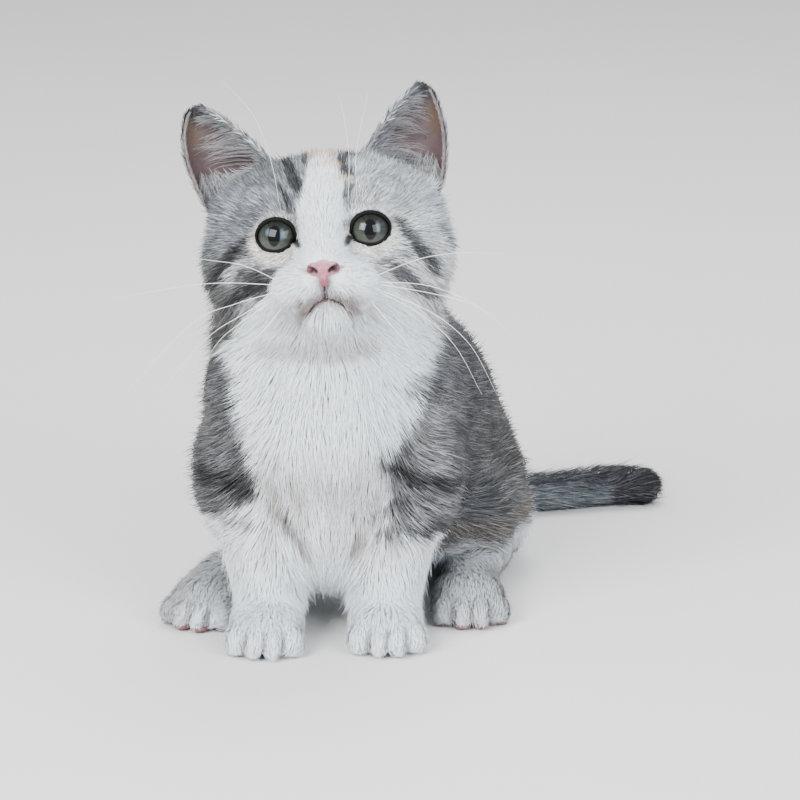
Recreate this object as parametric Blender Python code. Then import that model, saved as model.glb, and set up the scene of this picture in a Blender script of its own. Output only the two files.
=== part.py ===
"""A munchkin kitten sitting on the floor, life size, as a still model parted into its named pieces.

The flesh and coat are modelled whole, as clay made of ellipsoids that a voxel remesh fuses, and then
parted along thin cuts. Ears, eyes and nose are pieces of their own.

Frame: the kitten faces -Y, its left side is +X, +Z is up, and the floor is Z = 0.
"""

import math
import random

import bmesh
import bpy
from mathutils import Matrix, Vector
from mathutils.bvhtree import BVHTree

MM = 0.001
GAP = 0.3  # between two pieces that meet
SLIVER = 0.02  # corners nearer than this are one
LEFT, RIGHT = 1, -1  # the kitten's own sides
SIDES = (("left", LEFT), ("right", RIGHT))

# All sizes below are in millimetres, with the coat on. The floor is at height 0, and the forms that
# stand on it dip SINK below it, so that the cut there leaves small flats.
SINK = 0.8

BODY_TRIANGLES = 4400  # before the locks and the parting add theirs

# The head has its own axes: x to its left, y backwards and z up, about the middle of the skull.
HEAD_AT = (0.6, -12.1, 125.4)
HEAD_PITCH, HEAD_ROLL, HEAD_YAW = 25.0, 5.0, 3.0
EYE_RADIUS = 7.9
EYE_AT = (14.1, -20.6, 0.6)
EYE_OPENING = (6.5, 5.5)  # half width and half height between the lids
LID = 1.1
NOSE_AT = (0.0, -38.6, -15.0)
NOSTRIL = ((1.9, -3.2, -0.2, 0.8), (3.3, -2.6, 0.1, 0.7), (4.9, -1.4, 0.9, 0.45))  # from the nose
PAD_AT, PAD_RADII = (7.5, -29.8, -18.4), (10.4, 10.0, 8.0)  # a whisker pad
MOUTH_TOP = -22.9  # where the two halves of the mouth's line meet
MOUTH_SLOPE = 31.0
MOUTH_HALF_WIDTH = 10.0

# The edges of each ear's cup, each from its base over a bend to the tip, for a positive x.
EAR_EDGES = {
    LEFT: (
        ((11.7, -2, 27.5), (25.2, -0.5, 49.6), (34.5, 3, 53.3)),
        ((35.0, -4, 3), (42.2, 0.5, 38.6), (34.5, 3, 53.3)),
    ),
    RIGHT: (
        ((12.5, -2, 25), (30.8, -0.5, 49.0), (41.1, 3, 51.1)),
        ((37.0, -4, 4), (47.9, 0.5, 40.6), (41.1, 3, 51.1)),
    ),
}
EAR_DEPTH = 14.0
EAR_THICKNESS = 1.9
EAR_ROWS, EAR_COLUMNS = 10, 10
EAR_TRIANGLES = 280
EAR_LOCKS, EAR_LOCK_WIDTH, EAR_LOCK_SINK = (0.09, 0.22, 0.36, 0.51), 3.4, 9.0  # where along the edge
EAR_LAST_ROW = 0.98  # the rows end just short of the tip, where they would meet

# The spine's stations, from rump to nape: x, y, z, half width, half height.
SPINE = (
    (41, 101, 24, 22, 22),
    (36, 87, 31, 27.5, 28),
    (28, 66, 42, 31.5, 33),
    (21, 45, 56, 35.5, 38),
    (12, 24, 67, 37.5, 41),
    (3, 6, 76, 39, 41),
    (0, -4, 90, 38, 36),
    (0, -8, 103, 35, 32),
    (0, -9, 114, 33, 31),
)
BODY_YAW = 18.0  # the spine swings to the kitten's left behind the shoulders

# Each tail station is x, y, z and a radius. The tail lies on the floor.
TAIL = (
    (43, 110, 13, 11),
    (56, 117, 8.5, 9.0),
    (70, 119, 6.6, 7.4),
    (84, 123, 6.8, 7.6),
    (97, 127, 7.0, 7.8),
    (111, 128, 6.6, 7.4),
)

FORELEG = ((24, -8, 50, 17), (21.5, -15, 36, 14.6), (19.7, -21, 24, 13.0), (18.5, -25, 14, 11.2))
# Each forepaw's place, and how far its toes turn out.
FOREPAWS = {LEFT: ((18.8, -31, 0), 3.0), RIGHT: ((-19.3, -33.5, 0), 3.0)}
HIND_FEET = {
    # side: hock, middle of the foot, paw, and how far the toes turn out
    LEFT: ((46, 34, 10), (47, 15, 10), (45.8, -3, 0), 4.0),
    RIGHT: ((-24, 24, 9), (-32, 9, 9.5), (-39, -6, 0), 24.0),
}
PAW_HALF_WIDTH = 13.5
TOE_RADIUS = 4.4

# Whiskers: for each side, how far each one falls below level, in degrees, and its length.
WHISKERS = {
    LEFT: ((-20, 40), (-6, 34), (4, 52), (16, 50), (28, 36), (40, 48), (56, 30)),
    RIGHT: ((-10, 34), (-2, 54), (8, 38), (18, 58), (28, 46), (40, 40), (56, 32)),
}
WHISKER_ROOTS = ((8.5, -31.5, -14.5), (8.5, -30.5, -21.5))  # where the first and the last one start
WHISKER_THICKNESS = 0.8
WHISKER_SAG = 0.0042  # times the length squared
WHISKER_ROOT = 9  # of its length, inside the muzzle
WHISKER_SHARES = (0.0, 0.35, 0.7, 1.0)  # where its rings and its tip are
# The three long hairs of the brows, each from inside the brow to its tip.
BROW_WHISKERS = (
    ((-13.8, -26, 146.5), (-16.4, -36, 158), (-21.6, -35, 172.6), (-31.9, -30, 183.7)),
    ((10.4, -27, 147.5), (9.9, -37, 159.8), (11.5, -36, 170.6), (13.5, -32, 180.2)),
    ((7.4, -27, 147.5), (7.2, -37, 159.8), (6.2, -36, 170.6), (4.5, -32, 179.3)),
)

# A lock of the long coat: its number of rings along it, and how deep its root is sunk.
LOCK_RINGS = 3
LOCK_SINK = 2.6
LOCK_FLATNESS = 0.17  # half its thickness as a share of its width
SEED = 7

# Rings of locks: middle x, y, z, first and last angle, count, then length, width and lift.
COAT_RINGS = (
    ((0, 0, 98), (-68, 68, 8), (18, 14, 2.0)),
    ((0, 0, 85), (-78, 78, 8), (20, 14.5, 2.2)),
    ((0, 0, 72), (-86, 86, 8), (20, 14.5, 2.4)),
    ((2, 0, 58), (-90, 88, 8), (19, 14, 2.4)),
    ((2, 0, 45), (-38, 38, 4), (17, 13, 2.6)),
    ((1, 0, 33), (-8, 8, 2), (16, 10, 2.6)),
    ((16, 34, 60), (74, 118, 2), (19, 14, 2.4)),
    ((14, 34, 59), (-120, -76, 3), (19, 14, 2.4)),
    ((24, 56, 41), (62, 154, 5), (18, 14, 2.4)),
    ((26, 60, 25), (54, 150, 5), (16, 13, 2.2)),
    ((16, 56, 34), (-150, -104, 2), (18, 14, 2.4)),
)
BACK_LOCK = (19, 2.2, 14)  # length, lift and width
BACK_LOCKS = ((4, 18), (13, 39), (23, 60), (33, 82))
CHEEK_LOCKS = ((10, -12), (3, -20), (-8, -19))  # y and z in the head's axes
TAIL_RINGS, TAIL_RING_ANGLES = (65, 82, 99), (-85, -28, 28, 85)

BLACK = (0.02, 0.02, 0.02)
COAT_GREY = (0.30, 0.31, 0.33)
COAT_WHITE = (0.80, 0.81, 0.82)
WHITE_PIECES = ("forepaw", "hind_foot", "muzzle", "lower_jaw", "chest")
SKIN_PINK = (0.72, 0.38, 0.38)


def clear_scene():
    for obj in list(bpy.data.objects):
        bpy.data.objects.remove(obj)


def turn(pitch=0.0, roll=0.0, yaw=0.0):
    """Degrees: pitch lifts the front, roll lifts the left, yaw turns the front to the right."""
    angles = [math.radians(a) for a in (-pitch, -roll, -yaw)]
    return (
        Matrix.Rotation(angles[2], 4, "Z")
        @ Matrix.Rotation(angles[0], 4, "X")
        @ Matrix.Rotation(angles[1], 4, "Y")
    )


HEAD = Matrix.Translation(HEAD_AT) @ turn(HEAD_PITCH, HEAD_ROLL, HEAD_YAW)


def frame_at(at, yaw=0.0, pitch=0.0):
    return Matrix.Translation(at) @ turn(pitch=pitch, yaw=yaw)


def in_mm(matrix):
    """The matrix that takes millimetres in a local frame to metres in the model's frame."""
    return Matrix.Scale(MM, 4) @ matrix


def mesh_object(name, mesh):
    obj = bpy.data.objects.new(name, mesh)
    bpy.context.scene.collection.objects.link(obj)
    return obj


def object_of(name, bm):
    bmesh.ops.recalc_face_normals(bm, faces=bm.faces)
    mesh = bpy.data.meshes.new(name)
    bm.to_mesh(mesh)
    bm.free()
    return mesh_object(name, mesh)


def applied(obj):
    """Replaces obj's mesh by what its modifiers make of it."""
    graph = bpy.context.evaluated_depsgraph_get()
    mesh = bpy.data.meshes.new_from_object(obj.evaluated_get(graph))
    obj.modifiers.clear()
    obj.data = mesh
    return obj


class Clay:
    """A lump of ellipsoids that fuses into one closed mesh."""

    def __init__(self, frame=None):
        self.bm = bmesh.new()
        self.frame = frame or Matrix.Identity(4)

    def add(self, at, radii, spin=None, fineness=3):
        size = Matrix.Diagonal((*radii, 1.0))
        place = self.frame @ Matrix.Translation(at) @ (spin or Matrix.Identity(4)) @ size
        bmesh.ops.create_icosphere(self.bm, subdivisions=fineness, radius=1.0, matrix=in_mm(place))

    def pair(self, at, radii, spin_yaw=0.0):
        for side in (LEFT, RIGHT):
            self.add((side * at[0], at[1], at[2]), radii, turn(yaw=-side * spin_yaw))

    def chain(self, stations, steps=5):
        """Ellipsoids along stations of x, y, z, half width and half height, or one radius."""
        for start, end in zip(stations, stations[1:]):
            along = (Vector(end[:3]) - Vector(start[:3])).normalized()
            spin = along.to_track_quat("Y", "Z").to_matrix().to_4x4()
            for i in range(steps + 1):
                values = [a + (b - a) * i / steps for a, b in zip(start, end)]
                width, height = values[3], values[-1]
                self.add(values[:3], (width, (width + height) / 2, height), spin)

    def fused(self, name, voxel, softness, add_to=None):
        """One closed mesh: remeshed at the voxel size, then smoothed softness times."""
        obj = object_of(name, self.bm)
        if add_to is not None:
            obj = joined(obj, add_to)
        remesh = obj.modifiers.new("fuse", "REMESH")
        remesh.mode = "VOXEL"
        remesh.voxel_size = voxel * MM
        smooth = obj.modifiers.new("soften", "SMOOTH")
        smooth.factor = 0.5
        smooth.iterations = softness
        return applied(obj)


def joined(first, second):
    """The two objects' meshes in one object; the second is removed."""
    bm = bmesh.new()
    bm.from_mesh(first.data)
    bm.from_mesh(second.data)
    name = first.name
    bpy.data.objects.remove(first)
    bpy.data.objects.remove(second)
    return object_of(name, bm)


def thinned(obj, triangles):
    """Decimated to about this many triangles."""
    now = sum(len(p.vertices) - 2 for p in obj.data.polygons)
    decimate = obj.modifiers.new("thin", "DECIMATE")
    decimate.ratio = min(1.0, triangles / now)
    decimate.use_collapse_triangulate = True
    return applied(obj)


def boolean(obj, other, operation):
    modifier = obj.modifiers.new(operation.lower(), "BOOLEAN")
    modifier.operation = operation
    modifier.object = other
    modifier.solver = "MANIFOLD"
    return applied(obj)


def islands(bm):
    """The mesh's sets of faces that hang together by edges between just two faces."""
    left, found = set(bm.faces), []
    while left:
        island, edge_of_it = set(), [next(iter(left))]
        while edge_of_it:
            face = edge_of_it.pop()
            if face in left:
                left.discard(face)
                island.add(face)
                shared = [e for e in face.edges if len(e.link_faces) == 2]
                edge_of_it += [f for e in shared for f in e.link_faces if f in left]
        found.append(island)
    return found


def keep_largest(obj):
    """Drops slivers, loose scraps and sealed hollows: the closed surface of the widest box stays."""
    bm = bmesh.new()
    bm.from_mesh(obj.data)
    bmesh.ops.remove_doubles(bm, verts=bm.verts, dist=SLIVER * MM)

    def size(island):
        points = [v.co for face in island for v in face.verts]
        spans = [max(p[i] for p in points) - min(p[i] for p in points) for i in range(3)]
        return math.prod(spans)

    parts = sorted(islands(bm), key=size)
    doomed = [face for island in parts[:-1] for face in island]
    bmesh.ops.delete(bm, geom=doomed, context="FACES")
    bm.to_mesh(obj.data)
    bm.free()
    return obj


def block(name, frame, half_sizes, grow=0.0):
    bm = bmesh.new()
    sizes = [2 * (h + grow) for h in half_sizes]
    bmesh.ops.create_cube(bm, size=1.0, matrix=in_mm(frame @ Matrix.Diagonal((*sizes, 1.0))))
    return object_of(name, bm)


def egg(name, frame, radii, grow=0.0, fineness=3):
    bm = bmesh.new()
    size = Matrix.Diagonal((*[r + grow for r in radii], 1.0))
    bmesh.ops.create_icosphere(bm, subdivisions=fineness, radius=1.0, matrix=in_mm(frame @ size))
    return object_of(name, bm)


def plain_egg(name, frame, radii, grow=0.0):
    return egg(name, frame, radii, grow, fineness=2)


def parted(body, name, shape, frame, sizes):
    """Takes the piece of body inside the shape off it, with GAP between the two, and names it."""
    piece = mesh_object(name, body.data.copy())
    inside = shape("inside", frame, sizes)
    outside = shape("outside", frame, sizes, GAP)
    keep_largest(boolean(piece, inside, "INTERSECT"))
    keep_largest(boolean(body, outside, "DIFFERENCE"))
    for helper in (inside, outside):
        bpy.data.objects.remove(helper)
    return piece


def torso_clay():
    """Trunk, neck, shoulders, haunches and skull, which flow into each other."""
    clay = Clay()
    clay.chain(SPINE)
    for side in (LEFT, RIGHT):
        clay.add((side * 26, -3, 50), (19, 22, 28))
        clay.add((side * 17, -9, 77), (24, 22, 24))
    clay.add((0, -17, 71), (30, 25, 31))  # the chest's front
    clay.add((1, 9, 102), (28, 22, 18))  # nape
    clay.add((0, -14, 38), (22, 20, 24))
    clay.add((4, 0, 27), (21, 22, 21))
    clay.add((13, 26, 34), (33, 36, 31))  # belly
    yaw = -BODY_YAW
    clay.add((47, 63, 28), (18, 35, 28), turn(yaw=yaw))
    clay.add((53, 68, 17), (15, 29, 18), turn(yaw=yaw))
    clay.add((47, 31, 26), (16, 19, 21))
    clay.add((50, 40, 12), (12.5, 22, 13))
    clay.add((2, 62, 30), (22, 35, 29), turn(yaw=10))
    clay.add((-6, 50, 27), (21, 28, 26), turn(yaw=18))
    clay.add((-12, 36, 24), (20, 22, 22), turn(yaw=24))
    clay.frame = HEAD
    clay.add((0, 4, 4), (37.5, 32, 28.3))
    clay.pair((17, 4, 9), (21, 25, 19))
    clay.pair((19.5, -3, -5), (21.5, 22, 20))
    clay.pair((17, -1, -16), (20.5, 22, 15))
    clay.add((0, -8, -18), (25, 23, 15))
    clay.add((0, -15, -13), (19, 17, 13))
    return clay.fused("body", voxel=2.0, softness=12)


def paw(clay, at, yaw, side, length=15.0):
    """The foot's pad and four toes, the outer two set back."""
    clay.frame = frame_at((at[0], at[1], 0), yaw=-side * yaw)
    clay.add((0, 0, 7.5), (PAW_HALF_WIDTH - 0.9, length, 7.6 + SINK))
    for across, back, drop in ((-1, 4.2, 0.4), (-0.34, 0, 0), (0.34, 0, 0), (1, 4.2, 0.4)):
        x = across * (PAW_HALF_WIDTH - TOE_RADIUS)
        centre = (x, back - length + 2.4, TOE_RADIUS + 1.2 - SINK - drop)
        clay.add(centre, (TOE_RADIUS, 7.2, TOE_RADIUS + 1.4), turn(yaw=-9 * across))
    clay.frame = Matrix.Identity(4)


def limbs(clay):
    for side in (LEFT, RIGHT):
        clay.chain([(side * x, y, z, r) for x, y, z, r in FORELEG])
        paw(clay, *FOREPAWS[side], side)
        hock, middle, toes, out = HIND_FEET[side]
        clay.chain(((*hock, 9.6), (*middle, 10.2), (toes[0], toes[1] + 6, 8, 9.4)))
        paw(clay, toes, out, side, length=14.0)
    clay.chain(TAIL)


def face(clay):
    clay.frame = HEAD
    clay.pair((14, -16, 12), (13, 10.5, 8.5))  # brows
    clay.pair((21, -15.5, -9), (13, 11.5, 10))  # cheekbones
    clay.pair(EYE_AT, [EYE_RADIUS + LID / 2] * 3)
    clay.chain(((0, -21, 9, 9.5), (0, -27.5, -2, 8.6), (0, -34, -11.5, 6.6)))
    clay.pair(PAD_AT, PAD_RADII)
    clay.add((0, -27.4, -27.2), (9.6, 9.0, 6.4))  # chin
    clay.frame = Matrix.Identity(4)


def whole_body():
    """The flesh and coat as one closed mesh, flat where it stands on the floor."""
    clay = Clay()
    limbs(clay)
    face(clay)
    body = thinned(clay.fused("body", voxel=1.2, softness=4, add_to=torso_clay()), BODY_TRIANGLES)
    floor = block("floor", Matrix.Translation((0, 0, -50)), (300, 300, 50))
    body = keep_largest(boolean(body, floor, "DIFFERENCE"))
    bpy.data.objects.remove(floor)
    return body


def eye_frame(side):
    """About an eye's centre, its -y out of the head between the lids."""
    at = (side * EYE_AT[0], EYE_AT[1], EYE_AT[2])
    return HEAD @ Matrix.Translation(at) @ turn(pitch=-4.0, yaw=-side * 8.0)


def set_eye(body, name, side):
    """Gives the body lids round an eye's socket, and returns the eye."""
    frame = eye_frame(side)
    lids = egg("lids", frame, [EYE_RADIUS + LID] * 3)
    socket = egg("socket", frame, [EYE_RADIUS + GAP] * 3)
    boolean(body, lids, "UNION")
    opening = lid_opening(frame, side)
    for cutter in (opening, socket):
        boolean(body, cutter, "DIFFERENCE")
    keep_largest(body)
    for helper in (lids, socket, opening):
        bpy.data.objects.remove(helper)
    bm = bmesh.new()
    upright = frame @ Matrix.Rotation(math.radians(90), 4, "X")
    size = Matrix.Scale(EYE_RADIUS, 4)
    bmesh.ops.create_uvsphere(bm, u_segments=16, v_segments=10, radius=1.0, matrix=in_mm(upright @ size))
    return object_of(name, bm)


def lid_opening(frame, side):
    """What the lids leave open: a widening tube of the opening's shape, with a narrow inner corner."""
    bm = bmesh.new()
    reach = 2.0 * EYE_RADIUS
    lay = Matrix.Rotation(math.radians(90), 4, "X")
    size = Matrix.Diagonal((*EYE_OPENING, reach, 1.0))
    at = in_mm(frame @ Matrix.Translation((0, -reach / 2, 0)) @ lay @ size)
    sizes = {"radius1": 0.85, "radius2": 1.3, "depth": 1.0}
    bmesh.ops.create_cone(bm, cap_ends=True, segments=24, matrix=at, **sizes)
    opening = object_of("opening", bm)
    corner_at = frame @ Matrix.Translation((-side * 6.0, -EYE_RADIUS, -2.0))
    corner = egg("corner", corner_at, (2.4, 6.0, 1.3))
    boolean(opening, corner, "UNION")
    bpy.data.objects.remove(corner)
    return opening


def ear_edge(points, t):
    a, b, c = (Vector(p) for p in points)
    return a * (1 - t) ** 2 + b * 2 * t * (1 - t) + c * t * t


def ear(name, side):
    """A cup between two edges that meet at the tip, open to the front."""
    bm = bmesh.new()
    rows = []
    for i in range(EAR_ROWS + 1):
        t = EAR_LAST_ROW * i / EAR_ROWS
        inner, outer = (ear_edge(edge, t) for edge in EAR_EDGES[side])
        middle, half = (inner + outer) / 2, (outer - inner) / 2
        depth = EAR_DEPTH * (1 - t) ** 0.75
        row = []
        for j in range(EAR_COLUMNS + 1):
            angle = math.pi * j / EAR_COLUMNS
            point = middle - half * math.cos(angle) + Vector((0, depth * math.sin(angle), 0))
            point.x *= side
            row.append(bm.verts.new(in_mm(HEAD) @ point))
        rows.append(row)
    for low, high in zip(rows, rows[1:]):
        for quad in zip(low, low[1:], high[1:], high):
            bm.faces.new(quad)
    obj = object_of("cup", bm)
    shell = obj.modifiers.new("thickness", "SOLIDIFY")
    shell.thickness = EAR_THICKNESS * MM
    shell.offset = 0.0
    clay = Clay()
    cup = thinned(clay.fused(name, 0.55, 4, add_to=applied(obj)), EAR_TRIANGLES)
    grown(cup, ear_locks(side))
    return cup


def ear_locks(side):
    """Furnishings that fan from the inner edge of the cup over its opening."""
    bm, draw = bmesh.new(), random.Random(SEED)
    for t in EAR_LOCKS:
        inner, outer = (ear_edge(edge, t) for edge in EAR_EDGES[side])
        root = inner + Vector((-0.4, 0.8, 0))
        reach = (outer - inner) * 0.7 + Vector((0, draw.uniform(-1, 1), draw.uniform(2, 4) + 7 * t))
        path = []
        for i in range(LOCK_RINGS + 1):
            share = i / LOCK_RINGS
            point = root + reach * share + Vector((0, EAR_LOCK_SINK * share * (1 - share), 0))
            point.x *= side
            out = Vector((0, -1, -0.2)).normalized()
            path.append((HEAD @ point, HEAD.to_3x3() @ out))
        lock(bm, path, EAR_LOCK_WIDTH)
    return object_of("furnishings", bm)


def swollen(obj, amount):
    """A copy of obj grown by amount along its normals."""
    copy = mesh_object("swollen", obj.data.copy())
    grow = copy.modifiers.new("grow", "DISPLACE")
    grow.strength = amount * MM
    grow.mid_level = 0.0
    return applied(copy)


def rest_against(piece, support):
    """Cuts from piece what lies in support or within GAP of it."""
    cutter = swollen(support, GAP)
    keep_largest(boolean(piece, cutter, "DIFFERENCE"))
    bpy.data.objects.remove(cutter)
    return piece


def nose_form():
    clay = Clay(HEAD @ Matrix.Translation(NOSE_AT))
    clay.add((0, 0, 0.6), (3.4, 4.0, 2.9))
    clay.pair((2.9, 0.6, 0.9), (2.3, 3.4, 2.1))
    clay.add((0, 0.2, -2.6), (1.5, 3.0, 2.6))
    clay.add((0, 1.5, 2.4), (2.6, 2.8, 1.6))
    nose = thinned(clay.fused("nose", voxel=0.5, softness=3), 260)
    pits = Clay(HEAD @ Matrix.Translation(NOSE_AT))
    for side in (LEFT, RIGHT):
        pits.chain([(side * x, y, z, radius) for x, y, z, radius in NOSTRIL], 3)
    cutter = pits.fused("pits", voxel=0.25, softness=1)
    keep_largest(boolean(nose, thinned(cutter, 110), "DIFFERENCE"))
    bpy.data.objects.remove(cutter)
    return nose


def set_nose(body, nose):
    blank = nose_blank(nose)
    socket = swollen(blank, GAP)
    keep_largest(boolean(body, socket, "DIFFERENCE"))
    for helper in (blank, socket):
        bpy.data.objects.remove(helper)


def nose_blank(nose):
    """The nose's convex hull, so that its socket has no inward folds at the nostrils."""
    bm = bmesh.new()
    for vertex in nose.data.vertices:
        bm.verts.new(vertex.co)
    bmesh.ops.convex_hull(bm, input=bm.verts)
    inner = [vertex for vertex in bm.verts if not vertex.link_faces]
    bmesh.ops.delete(bm, geom=inner, context="VERTS")
    return object_of("blank", bm)


def roof(name, frame, sizes, grow=0.0):
    """A prism with a ridge on top: half width, half length, height and slope in degrees."""
    half_width, half_length, height, slope = sizes
    fall = (half_width + grow) * math.tan(math.radians(slope))
    up = grow / math.cos(math.radians(slope))
    bm = bmesh.new()
    corners = []
    eave = half_width + grow
    profile = ((-eave, -height), (eave, -height), (eave, up - fall), (0, up), (-eave, up - fall))
    for y in (-half_length - grow, half_length + grow):
        for x, z in profile:
            corners.append(bm.verts.new(in_mm(frame) @ Vector((x, y, z))))
    front, back = corners[:5], corners[5:]
    bm.faces.new(front)
    bm.faces.new(back[::-1])
    for i in range(5):
        j = (i + 1) % 5
        bm.faces.new((front[i], front[j], back[j], back[i]))
    return object_of(name, bm)


def lock(bm, path, width):
    """A flat lock that tapers to a point, along a path of points, each with its outward direction."""
    rings, last = [], len(path) - 1
    for i, (middle, out) in enumerate(path[:-1]):
        t = i / last
        across = out.cross(path[i + 1][0] - middle).normalized()
        half = width / 2 * (0.75 + 0.5 * t - 1.05 * t * t)
        thick = width * LOCK_FLATNESS * (1 - 0.6 * t)
        corners = (across * half, out * thick, -across * half, -out * thick)
        rings.append([bm.verts.new((middle + c) * MM) for c in corners])
    tip = bm.verts.new(path[-1][0] * MM)
    for low, high in zip(rings, rings[1:]):
        for i in range(4):
            bm.faces.new((low[i], low[(i + 1) % 4], high[(i + 1) % 4], high[i]))
    for i in range(4):
        bm.faces.new((rings[-1][i], rings[-1][(i + 1) % 4], tip))
    bm.faces.new(rings[0][::-1])


class Surface:
    """The outside of an object, to set locks on."""

    def __init__(self, obj):
        bm = bmesh.new()
        bm.from_mesh(obj.data)
        self.tree = BVHTree.FromBMesh(bm)
        bm.free()

    def seen_from(self, outside, towards):
        """The point, in millimetres, and normal that a look from outside towards a point meets."""
        look = (Vector(towards) - Vector(outside)).normalized()
        point, normal = self.tree.ray_cast(Vector(outside) * MM, look)[:2]
        return (point / MM, normal) if point else (None, None)

    def lie(self, root, out, along, length, lift):
        """A lock's path over the surface, from its sunk root to its lifted tip."""
        along = (Vector(along) - out * out.dot(Vector(along))).normalized()
        path = [(root - out * LOCK_SINK, out)]
        for i in range(1, LOCK_RINGS + 1):
            t = i / LOCK_RINGS
            ahead = path[-1][0] + along * length / LOCK_RINGS
            point, normal = self.tree.find_nearest(ahead * MM)[:2]
            height = lift * t - LOCK_SINK * (1 - t) ** 2
            path.append((point / MM + normal * height, normal))
            along = (along - normal * normal.dot(along)).normalized()
        return path


def ring_of_locks(bm, surface, draw, middle, angles, lie, sizes, reach=120):
    """Locks round an upright axis through middle, at angles from the front towards the left."""
    length, width, lift = sizes
    for angle in angles:
        turned = math.radians(angle + draw.uniform(-4, 4))
        high = middle[2] + draw.uniform(-2.5, 2.5)
        outside = (middle[0] + reach * math.sin(turned), middle[1] - reach * math.cos(turned), high)
        root, out = surface.seen_from(outside, (middle[0], middle[1], high))
        if root is None:
            continue
        scale = draw.uniform(0.85, 1.15)
        side = Vector((math.cos(turned), math.sin(turned), 0)) * draw.uniform(-0.25, 0.25)
        lock(bm, surface.lie(root, out, Vector(lie) + side, length * scale, lift), width * scale)


def spread(first, last, count, shift=0.0):
    step = (last - first) / (count - 1)
    return [first + step * (i + shift) for i in range(count)]


def coat_locks(body):
    """The long coat's locks: bib, flanks, haunches, back, cheeks and tail."""
    surface, draw, bm = Surface(body), random.Random(SEED), bmesh.new()
    for i, (middle, (first, last, count), sizes) in enumerate(COAT_RINGS):
        backwards = 0.35 if middle[1] > 10 else 0.0
        angles = spread(first, last, count, 0.25 * (-1) ** i)
        ring_of_locks(bm, surface, draw, middle, angles, (0, backwards, -1), sizes)
    for x, y in BACK_LOCKS:
        for side in (-1, 0, 1):
            above = (x + side * 13, y + 3 * abs(side), 200)
            root, out = surface.seen_from(above, (above[0], above[1], 0))
            lie = Vector((0.3 + 0.3 * side + draw.uniform(-0.2, 0.2), 1, -0.4))
            lock(bm, surface.lie(root, out, lie, *BACK_LOCK[:2]), BACK_LOCK[2])
    cheek_locks(bm, surface, draw)
    tail_locks(bm, surface, draw)
    return object_of("locks", bm)


def cheek_locks(bm, surface, draw):
    for side in (LEFT, RIGHT):
        for y, z in CHEEK_LOCKS:
            root, out = surface.seen_from(HEAD @ Vector((side * 90, y, z)), HEAD @ Vector((0, y, z)))
            lie = HEAD.to_3x3() @ Vector((side * 0.25, 0.75, -0.8))
            lock(bm, surface.lie(root, out, lie, draw.uniform(12, 15), 2.0), 10)


def tail_locks(bm, surface, draw):
    """Round the tail's upper sides, pointing to its tip."""
    for i, x in enumerate(TAIL_RINGS):
        place = max((station for station in TAIL if station[0] <= x + 8), key=lambda station: station[0])
        middle = Vector((x, place[1], place[2]))
        for angle in TAIL_RING_ANGLES:
            turned = math.radians(angle + 20 * (i % 2))
            outside = middle + 60 * Vector((0, math.sin(turned), math.cos(turned)))
            root, out = surface.seen_from(outside, middle)
            if root is not None and root.z > 3.5:
                lock(bm, surface.lie(root, out, (1, draw.uniform(0, 0.3), 0), 15, 1.4), 8.5)


def bristle(bm, path):
    """A tapered bristle of three sides along a path of points."""
    rings, last = [], len(path) - 1
    for i, middle in enumerate(path[:-1]):
        along = path[i + 1] - middle
        side = along.cross(Vector((0, 1, 0))).normalized()
        up = side.cross(along).normalized()
        radius = WHISKER_THICKNESS / 2 * (1.1 - 0.35 * i / last)
        ring = []
        for k in range(3):
            angle = math.tau * k / 3
            point = middle + (side * math.cos(angle) + up * math.sin(angle)) * radius
            ring.append(bm.verts.new(point * MM))
        rings.append(ring)
    tip = bm.verts.new(path[-1] * MM)
    for low, high in zip(rings, rings[1:]):
        for k in range(3):
            bm.faces.new((low[k], low[(k + 1) % 3], high[(k + 1) % 3], high[k]))
    for k in range(3):
        bm.faces.new((rings[-1][k], rings[-1][(k + 1) % 3], tip))
    bm.faces.new(rings[0][::-1])


def whisker(bm, root, direction, length):
    """A bristle that sags towards its tip."""
    sag = Vector((0, 0, -WHISKER_SAG * length * length))
    bristle(bm, [root + direction * length * t + sag * t * t for t in WHISKER_SHARES])


def whiskers():
    bm = bmesh.new()
    top, bottom = (Vector(root) for root in WHISKER_ROOTS)
    for side in (LEFT, RIGHT):
        for i, (drop, length) in enumerate(WHISKERS[side]):
            root = top.lerp(bottom, i / (len(WHISKERS[side]) - 1))
            root.x *= side
            angle = math.radians(drop)
            across, forward = side * math.cos(angle), -0.12 + 0.1 * (i % 2)
            direction = Vector((across, forward, -math.sin(angle))).normalized()
            whisker(bm, HEAD @ root, direction, length + WHISKER_ROOT)
    return object_of("whiskers", bm)


def brow_whiskers():
    bm = bmesh.new()
    for path in BROW_WHISKERS:
        bristle(bm, [Vector(point) for point in path])
    return object_of("brow_whiskers", bm)


def grown(obj, additions):
    """Joins the additions to obj, and keeps what hangs together."""
    keep_largest(boolean(obj, additions, "UNION"))
    bpy.data.objects.remove(additions)


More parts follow.
